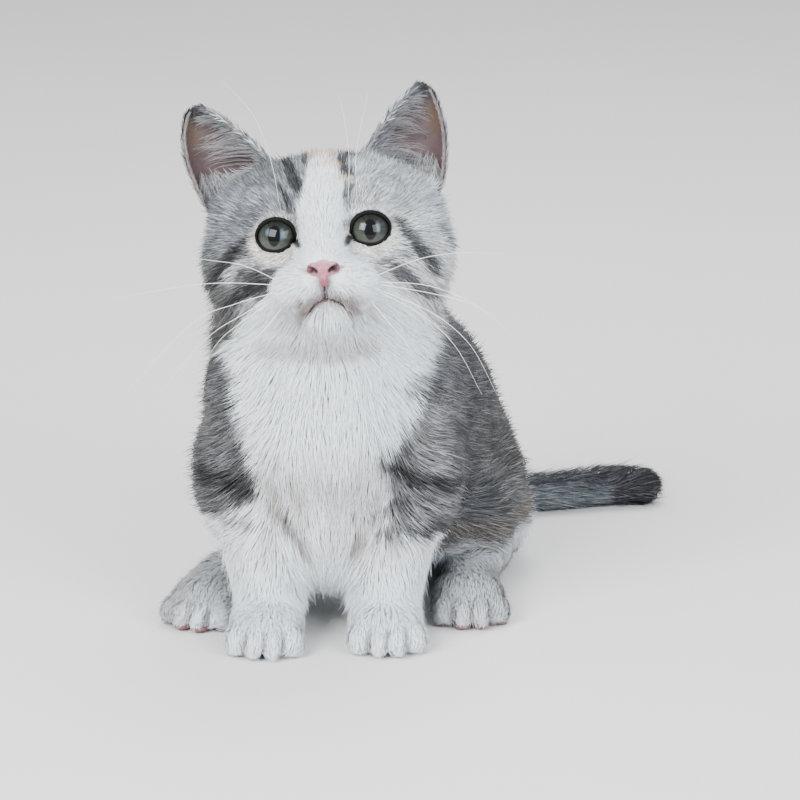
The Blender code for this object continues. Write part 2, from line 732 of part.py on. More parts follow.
def part_body(body):
    """Parts the whole body into named pieces, feet first."""
    pieces = []

    def take(name, shape, frame, sizes, source=None):
        pieces.append(parted(source or body, name, shape, frame, sizes))
        return pieces[-1]

    for name, side in SIDES:
        hock, middle, toes, out = HIND_FEET[side]
        turned = frame_at((middle[0] + side * 4, toes[1] + 17, 2), yaw=-side * out)
        take(f"hind_foot_{name}", block, turned, (18, 37, 16))
        take(f"forepaw_{name}", block, frame_at((side * 20, -34, -4), pitch=-8), (18, 30, 18))
        lean = Matrix.Rotation(math.radians(side * 23), 4, "Y")
        elbow = Matrix.Translation((side * 35.3, -28, 4.3)) @ lean
        take(f"foreleg_{name}", block, elbow, (30, 33, 25))
    take("thigh_left", plain_egg, frame_at((62, 58, 26), yaw=-BODY_YAW), (30, 48, 44))
    take("thigh_right", plain_egg, frame_at((-22, 46, 24), yaw=20), (32, 46, 40))
    tail = take("tail_base", block, Matrix.Translation((103, 118, 10)), (40, 16, 20))
    take("tail_tip", block, Matrix.Translation((129, 118, 10)), (40, 20, 22), tail)
    nape = frame_at((0, -10, 102), pitch=-15) @ Matrix.Translation((0, 0, 60))
    head = take("head", block, nape, (80, 90, 60))
    withers = frame_at((0, -4, 84), pitch=-20) @ Matrix.Translation((0, 0, 40))
    take("neck", block, withers, (80, 90, 40))
    ribs = frame_at((18, 34, 62), yaw=-BODY_YAW, pitch=-20) @ Matrix.Translation((0, -60, 0))
    take("chest", block, ribs, (90, 60, 90))
    muzzle = take("muzzle", egg, HEAD @ Matrix.Translation((0, -38, -20)), (24, 17, 18), head)
    lips = HEAD @ Matrix.Translation((0, -38, MOUTH_TOP))
    take("lower_jaw", roof, lips, (MOUTH_HALF_WIDTH, 20, 30, MOUTH_SLOPE), muzzle)
    grown(muzzle, whiskers())
    grown(head, brow_whiskers())
    body.name = "hindquarters"
    return [*pieces, body]


def paint(obj, colour, roughness=0.8):
    material = bpy.data.materials.new(obj.name)
    material.use_nodes = True
    shader = material.node_tree.nodes["Principled BSDF"]
    shader.inputs["Base Color"].default_value = (*colour, 1.0)
    shader.inputs["Roughness"].default_value = roughness
    obj.data.materials.clear()
    obj.data.materials.append(material)
    obj.data.shade_smooth()
    obj.data.set_sharp_from_angle(angle=math.radians(50))


def stand_at_origin(pieces):
    """Moves the pieces so that the origin is on the floor, under the middle of their box."""
    points = [v.co for obj in pieces for v in obj.data.vertices]
    middle = [(min(p[i] for p in points) + max(p[i] for p in points)) / 2 for i in (0, 1)]
    for obj in pieces:
        obj.data.transform(Matrix.Translation((-middle[0], -middle[1], 0)))


def main():
    clear_scene()
    body = whole_body()
    nose = nose_form()
    ears = [rest_against(ear(f"ear_{name}", side), body) for name, side in SIDES]
    eyes = [set_eye(body, f"eye_{name}", side) for name, side in SIDES]
    set_nose(body, nose)
    grown(body, coat_locks(body))
    flesh = part_body(body)
    for piece in flesh:
        white = piece.name.startswith(WHITE_PIECES)
        paint(piece, COAT_WHITE if white else COAT_GREY)
    for piece in ears:
        paint(piece, COAT_GREY)
    for piece in eyes:
        paint(piece, BLACK, 0.05)
    paint(nose, SKIN_PINK, 0.45)
    stand_at_origin([*flesh, *ears, *eyes, nose])


main()
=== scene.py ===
"""The looks of the sitting kitten: skin, coat, eyes, nose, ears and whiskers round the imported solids.

Sizes are in millimetres in the axes of the kitten's own drawing, where it faces -Y, its left is +X
and the floor is at height 0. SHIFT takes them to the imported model's place.
"""

import math

import bmesh
import bpy
import numpy as np
from mathutils import Matrix, Vector
from mathutils.bvhtree import BVHTree
from mathutils.kdtree import KDTree


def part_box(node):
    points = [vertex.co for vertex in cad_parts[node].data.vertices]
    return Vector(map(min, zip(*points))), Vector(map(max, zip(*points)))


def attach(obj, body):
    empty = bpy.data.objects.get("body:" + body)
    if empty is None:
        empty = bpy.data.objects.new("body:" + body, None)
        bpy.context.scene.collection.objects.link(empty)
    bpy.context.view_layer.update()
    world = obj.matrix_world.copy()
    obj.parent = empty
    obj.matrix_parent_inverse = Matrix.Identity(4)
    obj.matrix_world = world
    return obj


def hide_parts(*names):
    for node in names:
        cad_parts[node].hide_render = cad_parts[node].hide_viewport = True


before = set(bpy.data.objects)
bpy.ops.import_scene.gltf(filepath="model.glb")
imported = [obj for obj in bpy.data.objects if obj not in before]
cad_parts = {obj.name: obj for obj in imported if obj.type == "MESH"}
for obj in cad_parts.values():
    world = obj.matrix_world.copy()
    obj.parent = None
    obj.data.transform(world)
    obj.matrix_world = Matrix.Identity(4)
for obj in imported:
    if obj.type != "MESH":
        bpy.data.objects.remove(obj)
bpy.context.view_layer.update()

MM = 0.001
LEFT, RIGHT = 1, -1  # the kitten's own sides
SIDES = (("left", LEFT), ("right", RIGHT))
SEED = 11
RNG = np.random.default_rng(SEED)

# The head has its own axes: x to its left, y backwards and z up, about the middle of the skull.
HEAD_AT = (0.6, -12.1, 125.4)
HEAD_PITCH, HEAD_ROLL, HEAD_YAW = 25.0, 5.0, 3.0
EYE_AT, EYE_RADIUS, LID = (14.1, -20.6, 0.6), 7.9, 1.1
EYE_OPENING = (6.15, 5.2)
LID_RADIUS = EYE_RADIUS + 0.30  # of the lids' edge about the eye's centre
NOSE_AT = (0.0, -38.6, -15.0)
PAD_AT, PAD_RADII = (7.5, -29.8, -18.4), (10.4, 10.0, 8.0)

CAMERA_AT = (23.4, -1227.4, 401.6)
CAMERA_TILT = 15.0
CAMERA_LENS = 175.78
LIGHTS_MEET = (5, 10, 90)


def turn(pitch=0.0, roll=0.0, yaw=0.0):
    """A rotation in degrees: pitch lifts the front, roll lifts the left, yaw turns the front right."""
    angles = [math.radians(a) for a in (-pitch, -roll, -yaw)]
    return (
        Matrix.Rotation(angles[2], 4, "Z")
        @ Matrix.Rotation(angles[0], 4, "X")
        @ Matrix.Rotation(angles[1], 4, "Y")
    )


HEAD = Matrix.Translation(HEAD_AT) @ turn(HEAD_PITCH, HEAD_ROLL, HEAD_YAW)
low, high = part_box("eye_left")
SHIFT = np.array((low + high) / 2 / MM - HEAD @ Vector(EYE_AT))


def placed(points):
    """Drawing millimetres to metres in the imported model's frame."""
    return (np.asarray(points, float) + SHIFT) * MM


def moved_by(matrix, points):
    m = np.array(matrix)
    return np.asarray(points, float) @ m[:3, :3].T + m[:3, 3]


def turned_by(matrix, vectors):
    return np.asarray(vectors, float) @ np.array(matrix)[:3, :3].T


def in_head(points):
    return moved_by(HEAD.inverted(), points)


def smooth(x, start, end):
    """0 before start and 1 after end, in either order, with an even slope between."""
    t = np.clip((np.asarray(x, float) - start) / (end - start), 0, 1)
    return t * t * (3 - 2 * t)


def unit(v):
    return v / np.maximum(np.linalg.norm(v, axis=-1, keepdims=True), 1e-9)


def wavy(points, size, seed=0, waves=9):
    """Smooth noise from -1 to 1 with patches of about this size."""
    draw = np.random.default_rng(seed)
    total = np.zeros(len(points))
    for _ in range(waves):
        direction = unit(draw.normal(size=3)) * draw.uniform(0.6, 1.7) * math.pi / size
        total += np.sin(points @ direction + draw.uniform(0, math.tau))
    return total / math.sqrt(waves) / 1.2


# Meshes


def linked(name, data):
    """An object of this data, in the scene."""
    obj = bpy.data.objects.new(name, data)
    bpy.context.scene.collection.objects.link(obj)
    return obj


def object_of(name, bm):
    bmesh.ops.recalc_face_normals(bm, faces=bm.faces)
    mesh = bpy.data.meshes.new(name)
    bm.to_mesh(mesh)
    bm.free()
    return linked(name, mesh)


def applied(obj):
    """The object with its modifiers made part of its mesh, shaded smooth."""
    graph = bpy.context.evaluated_depsgraph_get()
    mesh = bpy.data.meshes.new_from_object(obj.evaluated_get(graph))
    obj.modifiers.clear()
    mesh.shade_smooth()
    obj.data = mesh
    return obj


def read(items, name, width, kind=np.float32):
    values = np.empty(len(items) * width, kind)
    items.foreach_get(name, values)
    return values.reshape(-1, width) if width > 1 else values


def points_of(obj):
    return read(obj.data.vertices, "co", 3).astype(float) / MM - SHIFT


def normals_of(obj):
    return read(obj.data.vertices, "normal", 3).astype(float)


def set_points(obj, points):
    obj.data.vertices.foreach_set("co", placed(points).astype(np.float32).ravel())
    obj.data.update()


def give_colours(obj, colours):
    """Stores a colour for each vertex, which the materials read as the tint."""
    layer = obj.data.attributes.new("tint", "FLOAT_COLOR", "POINT")
    rgba = np.ones((len(colours), 4), np.float32)
    rgba[:, :3] = colours
    layer.data.foreach_set("color", rgba.ravel())


def dress(piece, material, slot, *replaced):
    """Gives a piece its one material, hangs it from the root body and hides the nodes that it replaces; slot
    is not used.
    """
    piece.data.materials.append(material)
    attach(piece, "root")
    if replaced:
        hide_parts(*replaced)


def grid_faces(rows, columns, rows_meet=False, columns_meet=True):
    """Four-sided faces between the points of a grid, whose last row or column may meet its first."""
    grid = np.arange(rows * columns).reshape(rows, columns)
    grid = np.pad(grid, ((0, int(rows_meet)), (0, int(columns_meet))), mode="wrap")
    return np.stack([grid[:-1, :-1], grid[:-1, 1:], grid[1:, 1:], grid[1:, :-1]], -1).reshape(-1, 4)


def mesh_of(name, points, faces, colours=None, uvs=None, normals=None):
    """An object from drawing points and arrays of faces; normals are the shading's, one to a vertex."""
    mesh = bpy.data.meshes.new(name)
    faces = [np.asarray(f, np.int32) for f in faces]
    corners = np.concatenate([f.ravel() for f in faces])
    sizes = np.concatenate([np.full(len(f), f.shape[1], np.int32) for f in faces])
    starts = np.concatenate([[0], np.cumsum(sizes)[:-1]]).astype(np.int32)
    mesh.vertices.add(len(points))
    mesh.vertices.foreach_set("co", placed(points).astype(np.float32).ravel())
    mesh.loops.add(len(corners))
    mesh.loops.foreach_set("vertex_index", corners)
    mesh.polygons.add(len(starts))
    mesh.polygons.foreach_set("loop_start", starts)
    if uvs is not None:
        layer = mesh.uv_layers.new(name="OFBake")
        layer.data.foreach_set("uv", uvs[corners].astype(np.float32).ravel())
    mesh.update(calc_edges=True)
    mesh.validate()
    mesh.shade_smooth()
    if normals is not None:
        mesh.normals_split_custom_set_from_vertices(normals.astype(np.float32))
    obj = linked(name, mesh)
    if colours is not None:
        give_colours(obj, colours)
    return obj


class Clay:
    """A lump of ellipsoids that fuses into one closed mesh."""

    def __init__(self, at=None):
        self.bm = bmesh.new()
        self.frame = at or Matrix.Identity(4)

    def add(self, at, radii, spin=None):
        size = Matrix.Diagonal((*radii, 1.0))
        place = self.frame @ Matrix.Translation(at) @ (spin or Matrix.Identity(4)) @ size
        whole = Matrix.Scale(MM, 4) @ Matrix.Translation(SHIFT) @ place
        bmesh.ops.create_icosphere(self.bm, subdivisions=3, radius=1.0, matrix=whole)

    def pair(self, at, radii):
        for side in (LEFT, RIGHT):
            self.add((side * at[0], at[1], at[2]), radii)

    def chain(self, stations, steps=5):
        """Ellipsoids along stations of x, y, z, half width and half height, or one radius."""
        for start, end in zip(stations, stations[1:]):
            along = (Vector(end[:3]) - Vector(start[:3])).normalized()
            spin = along.to_track_quat("Y", "Z").to_matrix().to_4x4()
            for i in range(steps + 1):
                values = [a + (b - a) * i / steps for a, b in zip(start, end)]
                width, height = values[3], values[-1]
                self.add(values[:3], (width, (width + height) / 2, height), spin)

    def fused(self, name, voxel, softness, add_to=None):
        obj = object_of(name, self.bm)
        if add_to is not None:
            obj = joined(obj, add_to)
        remesh = obj.modifiers.new("fuse", "REMESH")
        remesh.mode = "VOXEL"
        remesh.voxel_size = voxel * MM
        soft = obj.modifiers.new("soften", "SMOOTH")
        soft.factor = 0.5
        soft.iterations = softness
        return applied(obj)


def joined(first, second):
    bm = bmesh.new()
    bm.from_mesh(first.data)
    bm.from_mesh(second.data)
    name = first.name
    bpy.data.objects.remove(first)
    bpy.data.objects.remove(second)
    return object_of(name, bm)


# The kitten's form, with its coat on, as the solids have it

SINK = 0.8  # how far the feet are sunk into the floor, which flattens them
BODY_YAW = 18.0
# The back line from the rump to the neck: x, y, z, half width and half height.
SPINE = (
    (41, 101, 24, 22, 22),
    (36, 87, 31, 27.5, 28),
    (28, 66, 42, 31.5, 33),
    (21, 45, 56, 35.5, 38),
    (12, 24, 67, 37.5, 41),
    (3, 6, 76, 39, 41),
    (0, -4, 90, 38, 36),
    (0, -8, 103, 35, 32),
    (0, -9, 114, 33, 31),
)
# The tail from its root and a foreleg from the body down: x, y, z and radius.
TAIL = (
    (43, 110, 13, 11),
    (56, 117, 8.5, 9.0),
    (70, 119, 6.6, 7.4),
    (84, 123, 6.8, 7.6),
    (97, 127, 7.0, 7.8),
    (111, 128, 6.6, 7.4),
)
FORELEG = ((24, -8, 50, 17), (21.5, -15, 36, 14.6), (19.7, -21, 24, 13.0), (18.5, -25, 14, 11.2))
# Each forepaw's middle on the floor, and its turn outward in degrees.
FOREPAWS = {LEFT: ((18.8, -31, 0), 3.0), RIGHT: ((-19.3, -33.5, 0), 3.0)}
# Each hind foot's hock, middle and toes, and its turn outward in degrees.
HIND_FEET = {
    LEFT: ((46, 34, 10), (47, 15, 10), (45.8, -3, 0), 4.0),
    RIGHT: ((-24, 24, 9), (-32, 9, 9.5), (-39, -6, 0), 24.0),
}
PAW_HALF_WIDTH, TOE_RADIUS, TOE_GAP = 13.5, 4.4, 6.1
FOREPAW_LENGTH, HIND_FOOT_LENGTH = 15.0, 14.0
# Each toe's place across the foot from -1 to 1, and how far it stands back and down.
TOES = ((-1, 4.2, 0.4), (-0.34, 0, 0), (0.34, 0, 0), (1, 4.2, 0.4))


def torso_clay():
    clay = Clay()
    clay.chain(SPINE)
    for side in (LEFT, RIGHT):
        clay.add((side * 26, -3, 50), (19, 22, 28))
        clay.add((side * 17, -9, 77), (24, 22, 24))
    clay.add((0, -17, 71), (30, 25, 31))
    clay.add((1, 9, 102), (28, 22, 18))
    clay.add((0, -14, 38), (22, 20, 24))
    clay.add((4, 0, 27), (21, 22, 21))
    clay.add((13, 26, 34), (33, 36, 31))
    yaw = -BODY_YAW
    clay.add((47, 63, 28), (18, 35, 28), turn(yaw=yaw))
    clay.add((53, 68, 17), (15, 29, 18), turn(yaw=yaw))
    clay.add((47, 31, 26), (16, 19, 21))
    clay.add((50, 40, 12), (12.5, 22, 13))
    clay.add((2, 62, 30), (22, 35, 29), turn(yaw=10))
    clay.add((-6, 50, 27), (21, 28, 26), turn(yaw=18))
    clay.add((-12, 36, 24), (20, 22, 22), turn(yaw=24))
    clay.frame = HEAD
    clay.add((0, 4, 4), (37.5, 32, 28.3))
    clay.pair((17, 4, 9), (21, 25, 19))
    clay.pair((19.5, -3, -5), (21.5, 22, 20))
    clay.pair((17, -1, -16), (20.5, 22, 15))
    clay.add((0, -8, -18), (25, 23, 15))
    clay.add((0, -15, -13), (19, 17, 13))
    return clay.fused("body", voxel=2.0, softness=12)


def paw_frame(at, yaw, side):
    """A foot's own axes on the floor, turned outward by yaw."""
    return Matrix.Translation((at[0], at[1], 0)) @ turn(yaw=-side * yaw)


def paw(clay, at, yaw, side, length):
    clay.frame = paw_frame(at, yaw, side)
    clay.add((0, 0, 7.5), (PAW_HALF_WIDTH - 0.9, length, 7.6 + SINK))
    for across, back, drop in TOES:
        x = across * (PAW_HALF_WIDTH - TOE_RADIUS)
        centre = (x, back - length + 2.4, TOE_RADIUS + 1.2 - SINK - drop)
        clay.add(centre, (TOE_RADIUS, 7.2, TOE_RADIUS + 1.4), turn(yaw=-9 * across))
    clay.frame = Matrix.Identity(4)


def limbs(clay):
    for side in (LEFT, RIGHT):
        clay.chain([(side * x, y, z, r) for x, y, z, r in FORELEG])
        paw(clay, *FOREPAWS[side], side, FOREPAW_LENGTH)
        hock, middle, toes, out = HIND_FEET[side]
        clay.chain(((*hock, 9.6), (*middle, 10.2), (toes[0], toes[1] + 6, 8, 9.4)))
        paw(clay, toes, out, side, HIND_FOOT_LENGTH)
    clay.chain(TAIL)


def face(clay):
    clay.frame = HEAD
    clay.pair((14, -16, 12), (13, 10.5, 8.5))
    clay.pair((21, -15.5, -9), (13, 11.5, 10))
    clay.pair(EYE_AT, [EYE_RADIUS + LID / 2] * 3)
    clay.chain(((0, -21, 9, 9.5), (0, -27.5, -2, 8.6), (0, -34, -11.5, 6.6)))
    clay.pair(PAD_AT, PAD_RADII)
    clay.add((0, -27.4, -27.2), (9.6, 9.0, 6.4))
    clay.frame = Matrix.Identity(4)


def whole_form():
    clay = Clay()
    limbs(clay)
    face(clay)
    return clay.fused("skin", voxel=1.2, softness=4, add_to=torso_clay())


def eye_frame(side):
    """About an eye's centre, its -y out of the head between the lids."""
    at = (side * EYE_AT[0], EYE_AT[1], EYE_AT[2])
    return HEAD @ Matrix.Translation(at) @ turn(pitch=-4.0, yaw=-side * 8.0)


def in_eye(points, side):
    """In the eye's frame, with x away from the nose."""
    local = moved_by(eye_frame(side).inverted(), points)
    local[:, 0] *= side
    return local


def eye_ring(local):
    """How far out points in an eye's frame are as seen from in front: 1 at the edge of its opening."""
    return np.hypot(local[:, 0] / EYE_OPENING[0], local[:, 2] / EYE_OPENING[1])


# Markings

WHITE = (0.82, 0.90, 0.96)
HEAD_GREYS = {RIGHT: (0.135, 0.15, 0.165), LEFT: (0.36, 0.40, 0.43)}
CHEEK_GREYS = {RIGHT: (0.069, 0.070, 0.071), LEFT: (0.44, 0.47, 0.49)}
FLANK_GREY = (0.076, 0.078, 0.083)
BACK_GREY = (0.047, 0.049, 0.053)
HAUNCH_GREY = (0.072, 0.069, 0.066)
DARK = (0.012, 0.012, 0.014)
CREAM = (0.72, 0.47, 0.29)
TINTS = {
    "shoulder": (0.17, 0.175, 0.18),
    "under": (0.10, 0.09, 0.085),
    "low side": (0.28, 0.215, 0.16),
    "tail": (0.095, 0.107, 0.12),
    "pale stroke": (0.62, 0.66, 0.68),
    "low bib": (0.56, 0.52, 0.49),
    "breast gap shade": (0.20, 0.16, 0.14),
    "jaw": (0.44, 0.41, 0.40),
    "eye ring": (0.74, 0.72, 0.68),
    "darker band above": (0.10, 0.085, 0.08),
    "tear line": (0.012, 0.009, 0.010),
    "lips": (0.22, 0.16, 0.155),
    "wing_shade": (0.16, 0.09, 0.09),
    "chin": (0.33, 0.285, 0.275),
    "freckles": (0.25, 0.22, 0.22),
    "toe gap shade": (0.24, 0.19, 0.18),
    "hind feet": (0.30, 0.305, 0.31),
}

# The tear corner of an eye in the eye's axes, and the jaw's and the mouth's lines in the head's axes.
CORNER = ((-5.2, 0, -1.7), (-6.5, 0, -2.7), (-7.9, 0, -4.2))
JAW = (
    (-24.2, -7.8, -33.4),
    (-15.5, -11.4, -35.7),
    (-5.1, -12.8, -37.7),
    (2.7, -12.4, -37.9),
    (12.8, -10.2, -36.0),
)
MOUTH = (
    (-8.2, -32.6, -27.4),
    (-5.6, -34.6, -26.0),
    (-3.2, -36.4, -24.2),
    (-0.2, -37.2, -22.9),
    (3.2, -36.4, -24.0),
    (5.8, -34.6, -25.4),
    (9.0, -32.2, -27.0),
)
PHILTRUM = ((0, -39.5, -18.0), (-0.1, -38.8, -20.5), (-0.2, -37.2, -22.9))
WING = ((4.6, -38.8, -14.7), (6.7, -37.2, -13.8))  # the dark line out of a nostril
NOSTRIL = ((2.9, -3.1, -0.9), (3.5, -2.6, -0.2), (5.2, -0.9, 0.9))  # from the nose's own middle
FROM_FRONT = (1.0, 0.35, 1.0)  # scales that count depth less, for marks drawn as they show from in front
# The gaps between the breast's point and the forelegs, in the drawing's axes.
BREAST_GAPS = (((-13, -30, 38.5), (-8, -31, 32), (-5.4, -31, 26)), ((10, -30, 32), (7.2, -31, 26)))
# The dots on the whisker pads, in three rows: x to each side, and z.
FRECKLES = [(7.0 + 2.6 * i, -16.2 - 2.3 * j + 0.25 * i) for j in range(3) for i in range(4 - (j == 2))]
# Edges of the white blaze and muzzle in the head's axes: height, then x on the right and on the left.
BLAZE = (
    (-34, -44, 42),
    (-29, -38, 38),
    (-23.4, -29, 28),
    (-19.1, -21, 22),
    (-15.2, -17.6, 17),
    (-10.7, -14.5, 14),
    (-7, -10, 9.5),
    (0, -7.4, 7.4),
    (9, -7.2, 7.6),
    (17, -5.8, 7.2),
    (22, -4.8, 5.4),
    (26.6, -2.8, 3.8),
    (31, -0.6, 1.6),
)
# Edges of the white bib: height, then x on the right and on the left.
BIB = (
    (22, -46, 44),
    (27, -46, 42),
    (32, -46, 34),
    (36, -45, 22),
    (40, -34, 21),
    (45, -22.5, 20),
    (51, -23, 19.5),
    (56, -25, 19.5),
    (60, -26.5, 21),
    (68, -29, 27),
    (74, -30.3, 30),
    (81, -31.5, 33),
    (88, -32.5, 35),
    (106, -33, 37),
)
# Dark strokes, in the head's axes: points, then half width and strength.
HEAD_STROKES = (
    (((-12, -4, 31), (-10.3, -13, 27), (-9.2, -18, 22.6), (-7.6, -24, 16)), 2.1, 0.95),
    (((-14.5, -22, 18.5), (-11.9, -26, 13.6), (-10.6, -26.5, 9)), 1.3, 0.8),
    (((-5.2, -6, 31.5), (-4.4, -14, 27)), 1.5, 0.8),
    (((9.5, -2, 31), (7.4, -13, 26.8), (8.2, -20, 21)), 2.0, 0.95),
    (((8.8, -23.5, 16.5), (8.9, -26, 10.5)), 1.3, 0.75),
    (((-18, -8, 28), (-17, -17, 21), (-19, -21, 15)), 1.0, 0.35),
    (((18, -8, 28), (17, -17, 21), (19, -21, 15)), 1.0, 0.3),
    (
        (
            (-24.5, -23.5, 1.2),
            (-27.4, -22, -0.2),
            (-31.3, -20.5, -3.5),
            (-34.3, -17.5, -8),
            (-38, -9, -11.5),
        ),
        1.7,
        0.85,
    ),
    (((-20.5, -24.5, -15.2), (-26.5, -21.3, -16.2), (-30.5, -17, -17.6), (-34.5, -9.5, -20)), 1.8, 0.8),
    (((-24, -26, -8.5), (-20.5, -25.5, -13)), 2.4, 0.42),
    (((-29, -16, -21.5), (-36, -8, -23)), 1.4, 0.5),
    (((-35, -12, 3), (-39, -3, -2), (-40, 6, -6)), 1.8, 0.5),
    (((26, -22.5, 3), (29.2, -21.5, -1.5), (32, -20.5, -8.5), (35, -13, -12)), 2.3, 0.88),
    (((18.2, -26, -10.8), (23.5, -26.3, -10), (28.3, -24.5, -9.6)), 1.4, 0.6),
    (((23, -24.8, -13.8), (26.8, -21.3, -16.4), (30.3, -16, -19.2), (34, -9, -21)), 2.0, 0.85),
    (((18.8, -26.3, -7), (23.7, -25.8, -5.5)), 1.8, 0.4),
    (((36, -10, 2), (39.5, -2, -3), (40, 7, -7)), 1.8, 0.55),
    (((-12, 4, 32), (-13, 22, 24), (-11, 33, 8)), 2.2, 0.7),
    (((-3.5, 2, 32), (-4, 24, 26), (-4, 35, 8)), 2.0, 0.75),
    (((5, 2, 32), (4.5, 24, 26), (4, 35, 8)), 2.0, 0.75),
    (((12, 4, 32), (13, 22, 24), (11, 33, 8)), 2.2, 0.7),
    (((-27, 14, 20), (-29, 24, 8), (-24, 30, -6)), 2.4, 0.55),
    (((27, 14, 20), (29, 24, 8), (24, 30, -6)), 2.4, 0.55),
)
# Pale strokes between them, laid on in this order.
PALE_STROKES = (
    (((24, -24.5, -8), (30, -20, -12), (34.5, -13, -15.5)), 2.6, 0.75),
    (((22, -25, 7), (27, -22, 6), (33, -16, 0)), 2.4, 0.4),
    (((15, -26, 11), (20, -23, 14)), 2.0, 0.35),
    (((-19, -26, -7.5), (-26, -22.5, -7), (-32, -18, -11)), 2.0, 0.6),
    (((-26, -20, -20), (-33, -12, -24)), 2.2, 0.5),
    (((26, -20, -21), (33, -12, -25)), 2.6, 0.6),
    (((-6.5, -21, 19.5), (-9, -23, 14)), 1.4, 0.4),
)
# Dark strokes on the body, in the drawing's axes, in the same form.
BODY_STROKES = (
    (((-40, -14, 51), (-34, -22.5, 50), (-29, -25.5, 49.5)), 4.6, 1.0),
    (((-37, -18, 38.5), (-31, -25, 38), (-26, -29, 37.2)), 2.0, 0.75),
    (((-18.5, -27, 43), (-13, -31, 39), (-9.5, -33, 35)), 1.7, 0.7),
    (((-38, -10, 62), (-32, -22, 62)), 2.2, 0.4),
    (((-38, -12, 72), (-33, -22, 73)), 2.0, 0.4),
    (((-38, -10, 84), (-34, -20, 85)), 2.0, 0.4),
    (((44, -12, 47), (38, -22, 49), (31, -26, 50.5), (24, -29.5, 55), (18, -31, 58)), 3.0, 0.95),
    (((33, -24.5, 45), (25, -28, 43), (18.5, -28, 41.5), (15.5, -30, 40)), 1.9, 0.8),
    (((16, -30.5, 35.5), (23, -30.8, 34.2), (30, -27, 33), (37, -18, 33.5), (41, -6, 31)), 2.5, 0.95),
    (((28.2, -28.5, 81), (33, -26, 85.8)), 1.8, 0.75),
    (((46.5, 26, 86), (47, 18, 70), (46.5, 12, 58), (45, 12, 40), (43, 8, 30)), 3.4, 0.85),
    (((37, -13, 60), (43, 0, 63), (45, 6, 60)), 2.6, 0.55),
    (((36, -14, 75), (41, 0, 78)), 2.6, 0.45),
    (((50, 40, 82), (55, 36, 62), (57, 34, 46)), 3.2, 0.75),
    (((50, 60, 72), (60, 52, 52), (66, 50, 30)), 3.2, 0.7),
    (((52, 78, 60), (63, 72, 42), (68, 70, 22)), 3.2, 0.7),
    (((52, 94, 46), (61, 92, 32), (62, 92, 16)), 3.0, 0.7),
    (((-38, 8, 90), (-38, 6, 72), (-40, 0, 55)), 3.2, 0.8),
    (((-30, 32, 92), (-32, 28, 72), (-30, 26, 50)), 3.2, 0.7),
    (((-18, 50, 80), (-22, 48, 60), (-24, 46, 36)), 3.2, 0.7),
    (((-4, 70, 64), (-14, 70, 46), (-19, 72, 24)), 3.0, 0.7),
    (((8, 90, 48), (0, 92, 34), (-2, 94, 18)), 3.0, 0.7),
    (((0, 22, 122), (6, 44, 105), (18, 66, 86), (30, 88, 64), (42, 108, 40), (46, 118, 22)), 5.0, 0.95),
    (((-11, 24, 116), (-4, 46, 102), (8, 68, 82), (20, 90, 58)), 2.4, 0.7),
    (((12, 22, 116), (18, 42, 102), (30, 62, 84), (42, 84, 60)), 2.4, 0.7),
    (((60, 20, 22), (66, 36, 24)), 2.6, 0.4),
)
# Spots of cream on the brow, in the head's axes: middle, radius and strength.
CREAM_SPOTS = (
    ((0.6, -8, 29.8), 4.2, 0.85),
    ((3.4, -15.5, 26), 3.0, 0.7),
    ((-1.6, -17, 25), 2.2, 0.4),
    ((6.2, -22, 19), 2.4, 0.6),
    ((13.5, -22.5, 15.5), 2.2, 0.5),
    ((-13, -22.5, 14), 1.8, 0.35),
)
SKULL = 36.0  # the radius on which the head's marks are measured
FLAT = np.array((1.0, 0.0, 1.0))  # scales that take depth away


def toe_gaps(points):
    """1 along the lines between the toes and 0 away from them."""
    found = np.zeros(len(points))
    feet = [(*FOREPAWS[side], side, FOREPAW_LENGTH) for side in (LEFT, RIGHT)]
    feet += [(*HIND_FEET[side][2:], side, HIND_FOOT_LENGTH) for side in (LEFT, RIGHT)]
    for at, yaw, side, length in feet:
        x, y, z = moved_by(paw_frame(at, yaw, side).inverted(), points).T
        on_toes = smooth(y, -length + 7, -length + 2) * smooth(y, -length - 12, -length - 9)
        for across in (-TOE_GAP, 0.0, TOE_GAP):
            line = across * (1 + 0.016 * (-length - y)) + 0.5 * np.sin(0.55 * z + across + 2 * side)
            top = 10.8 - 0.25 * abs(across)
            core = smooth(np.abs(x - line), 0.95, 0.2) * smooth(z, top, top - 3.8)
            found = np.maximum(found, core * on_toes)
    return found


def from_line(points, line):
    """Each point's distance from a line through several points."""
    nearest = np.full(len(points), 1e9)
    for start, end in zip(line, line[1:]):
        a, along = np.array(start, float), np.array(end, float) - np.array(start, float)
        t = np.clip((points - a) @ along / (along @ along), 0, 1)
        nearest = np.minimum(nearest, np.linalg.norm(points - a - t[:, None] * along, axis=1))
    return nearest


def from_front(points, line):
    """Each point's distance from a line as seen from in front; points behind the face are far away."""
    return from_line(points * FLAT, np.array(line, float) * FLAT) + 99 * (points[:, 1] > -22)


def mixed(colours, colour, share):
    """Colours with this share of one colour mixed in."""
    share = np.clip(share, 0, 1)[:, None]
    return colours * (1 - share) + np.asarray(colour, float) * share


def between(x, height, edges, softness):
    """1 between the edges of a table of heights with x on the right and on the left, and 0 outside."""
    heights, right, left = np.array(edges, float).T
    right, left = np.interp(height, heights, right), np.interp(height, heights, left)
    return smooth(x - right, -softness, softness) * smooth(left - x, -softness, softness)


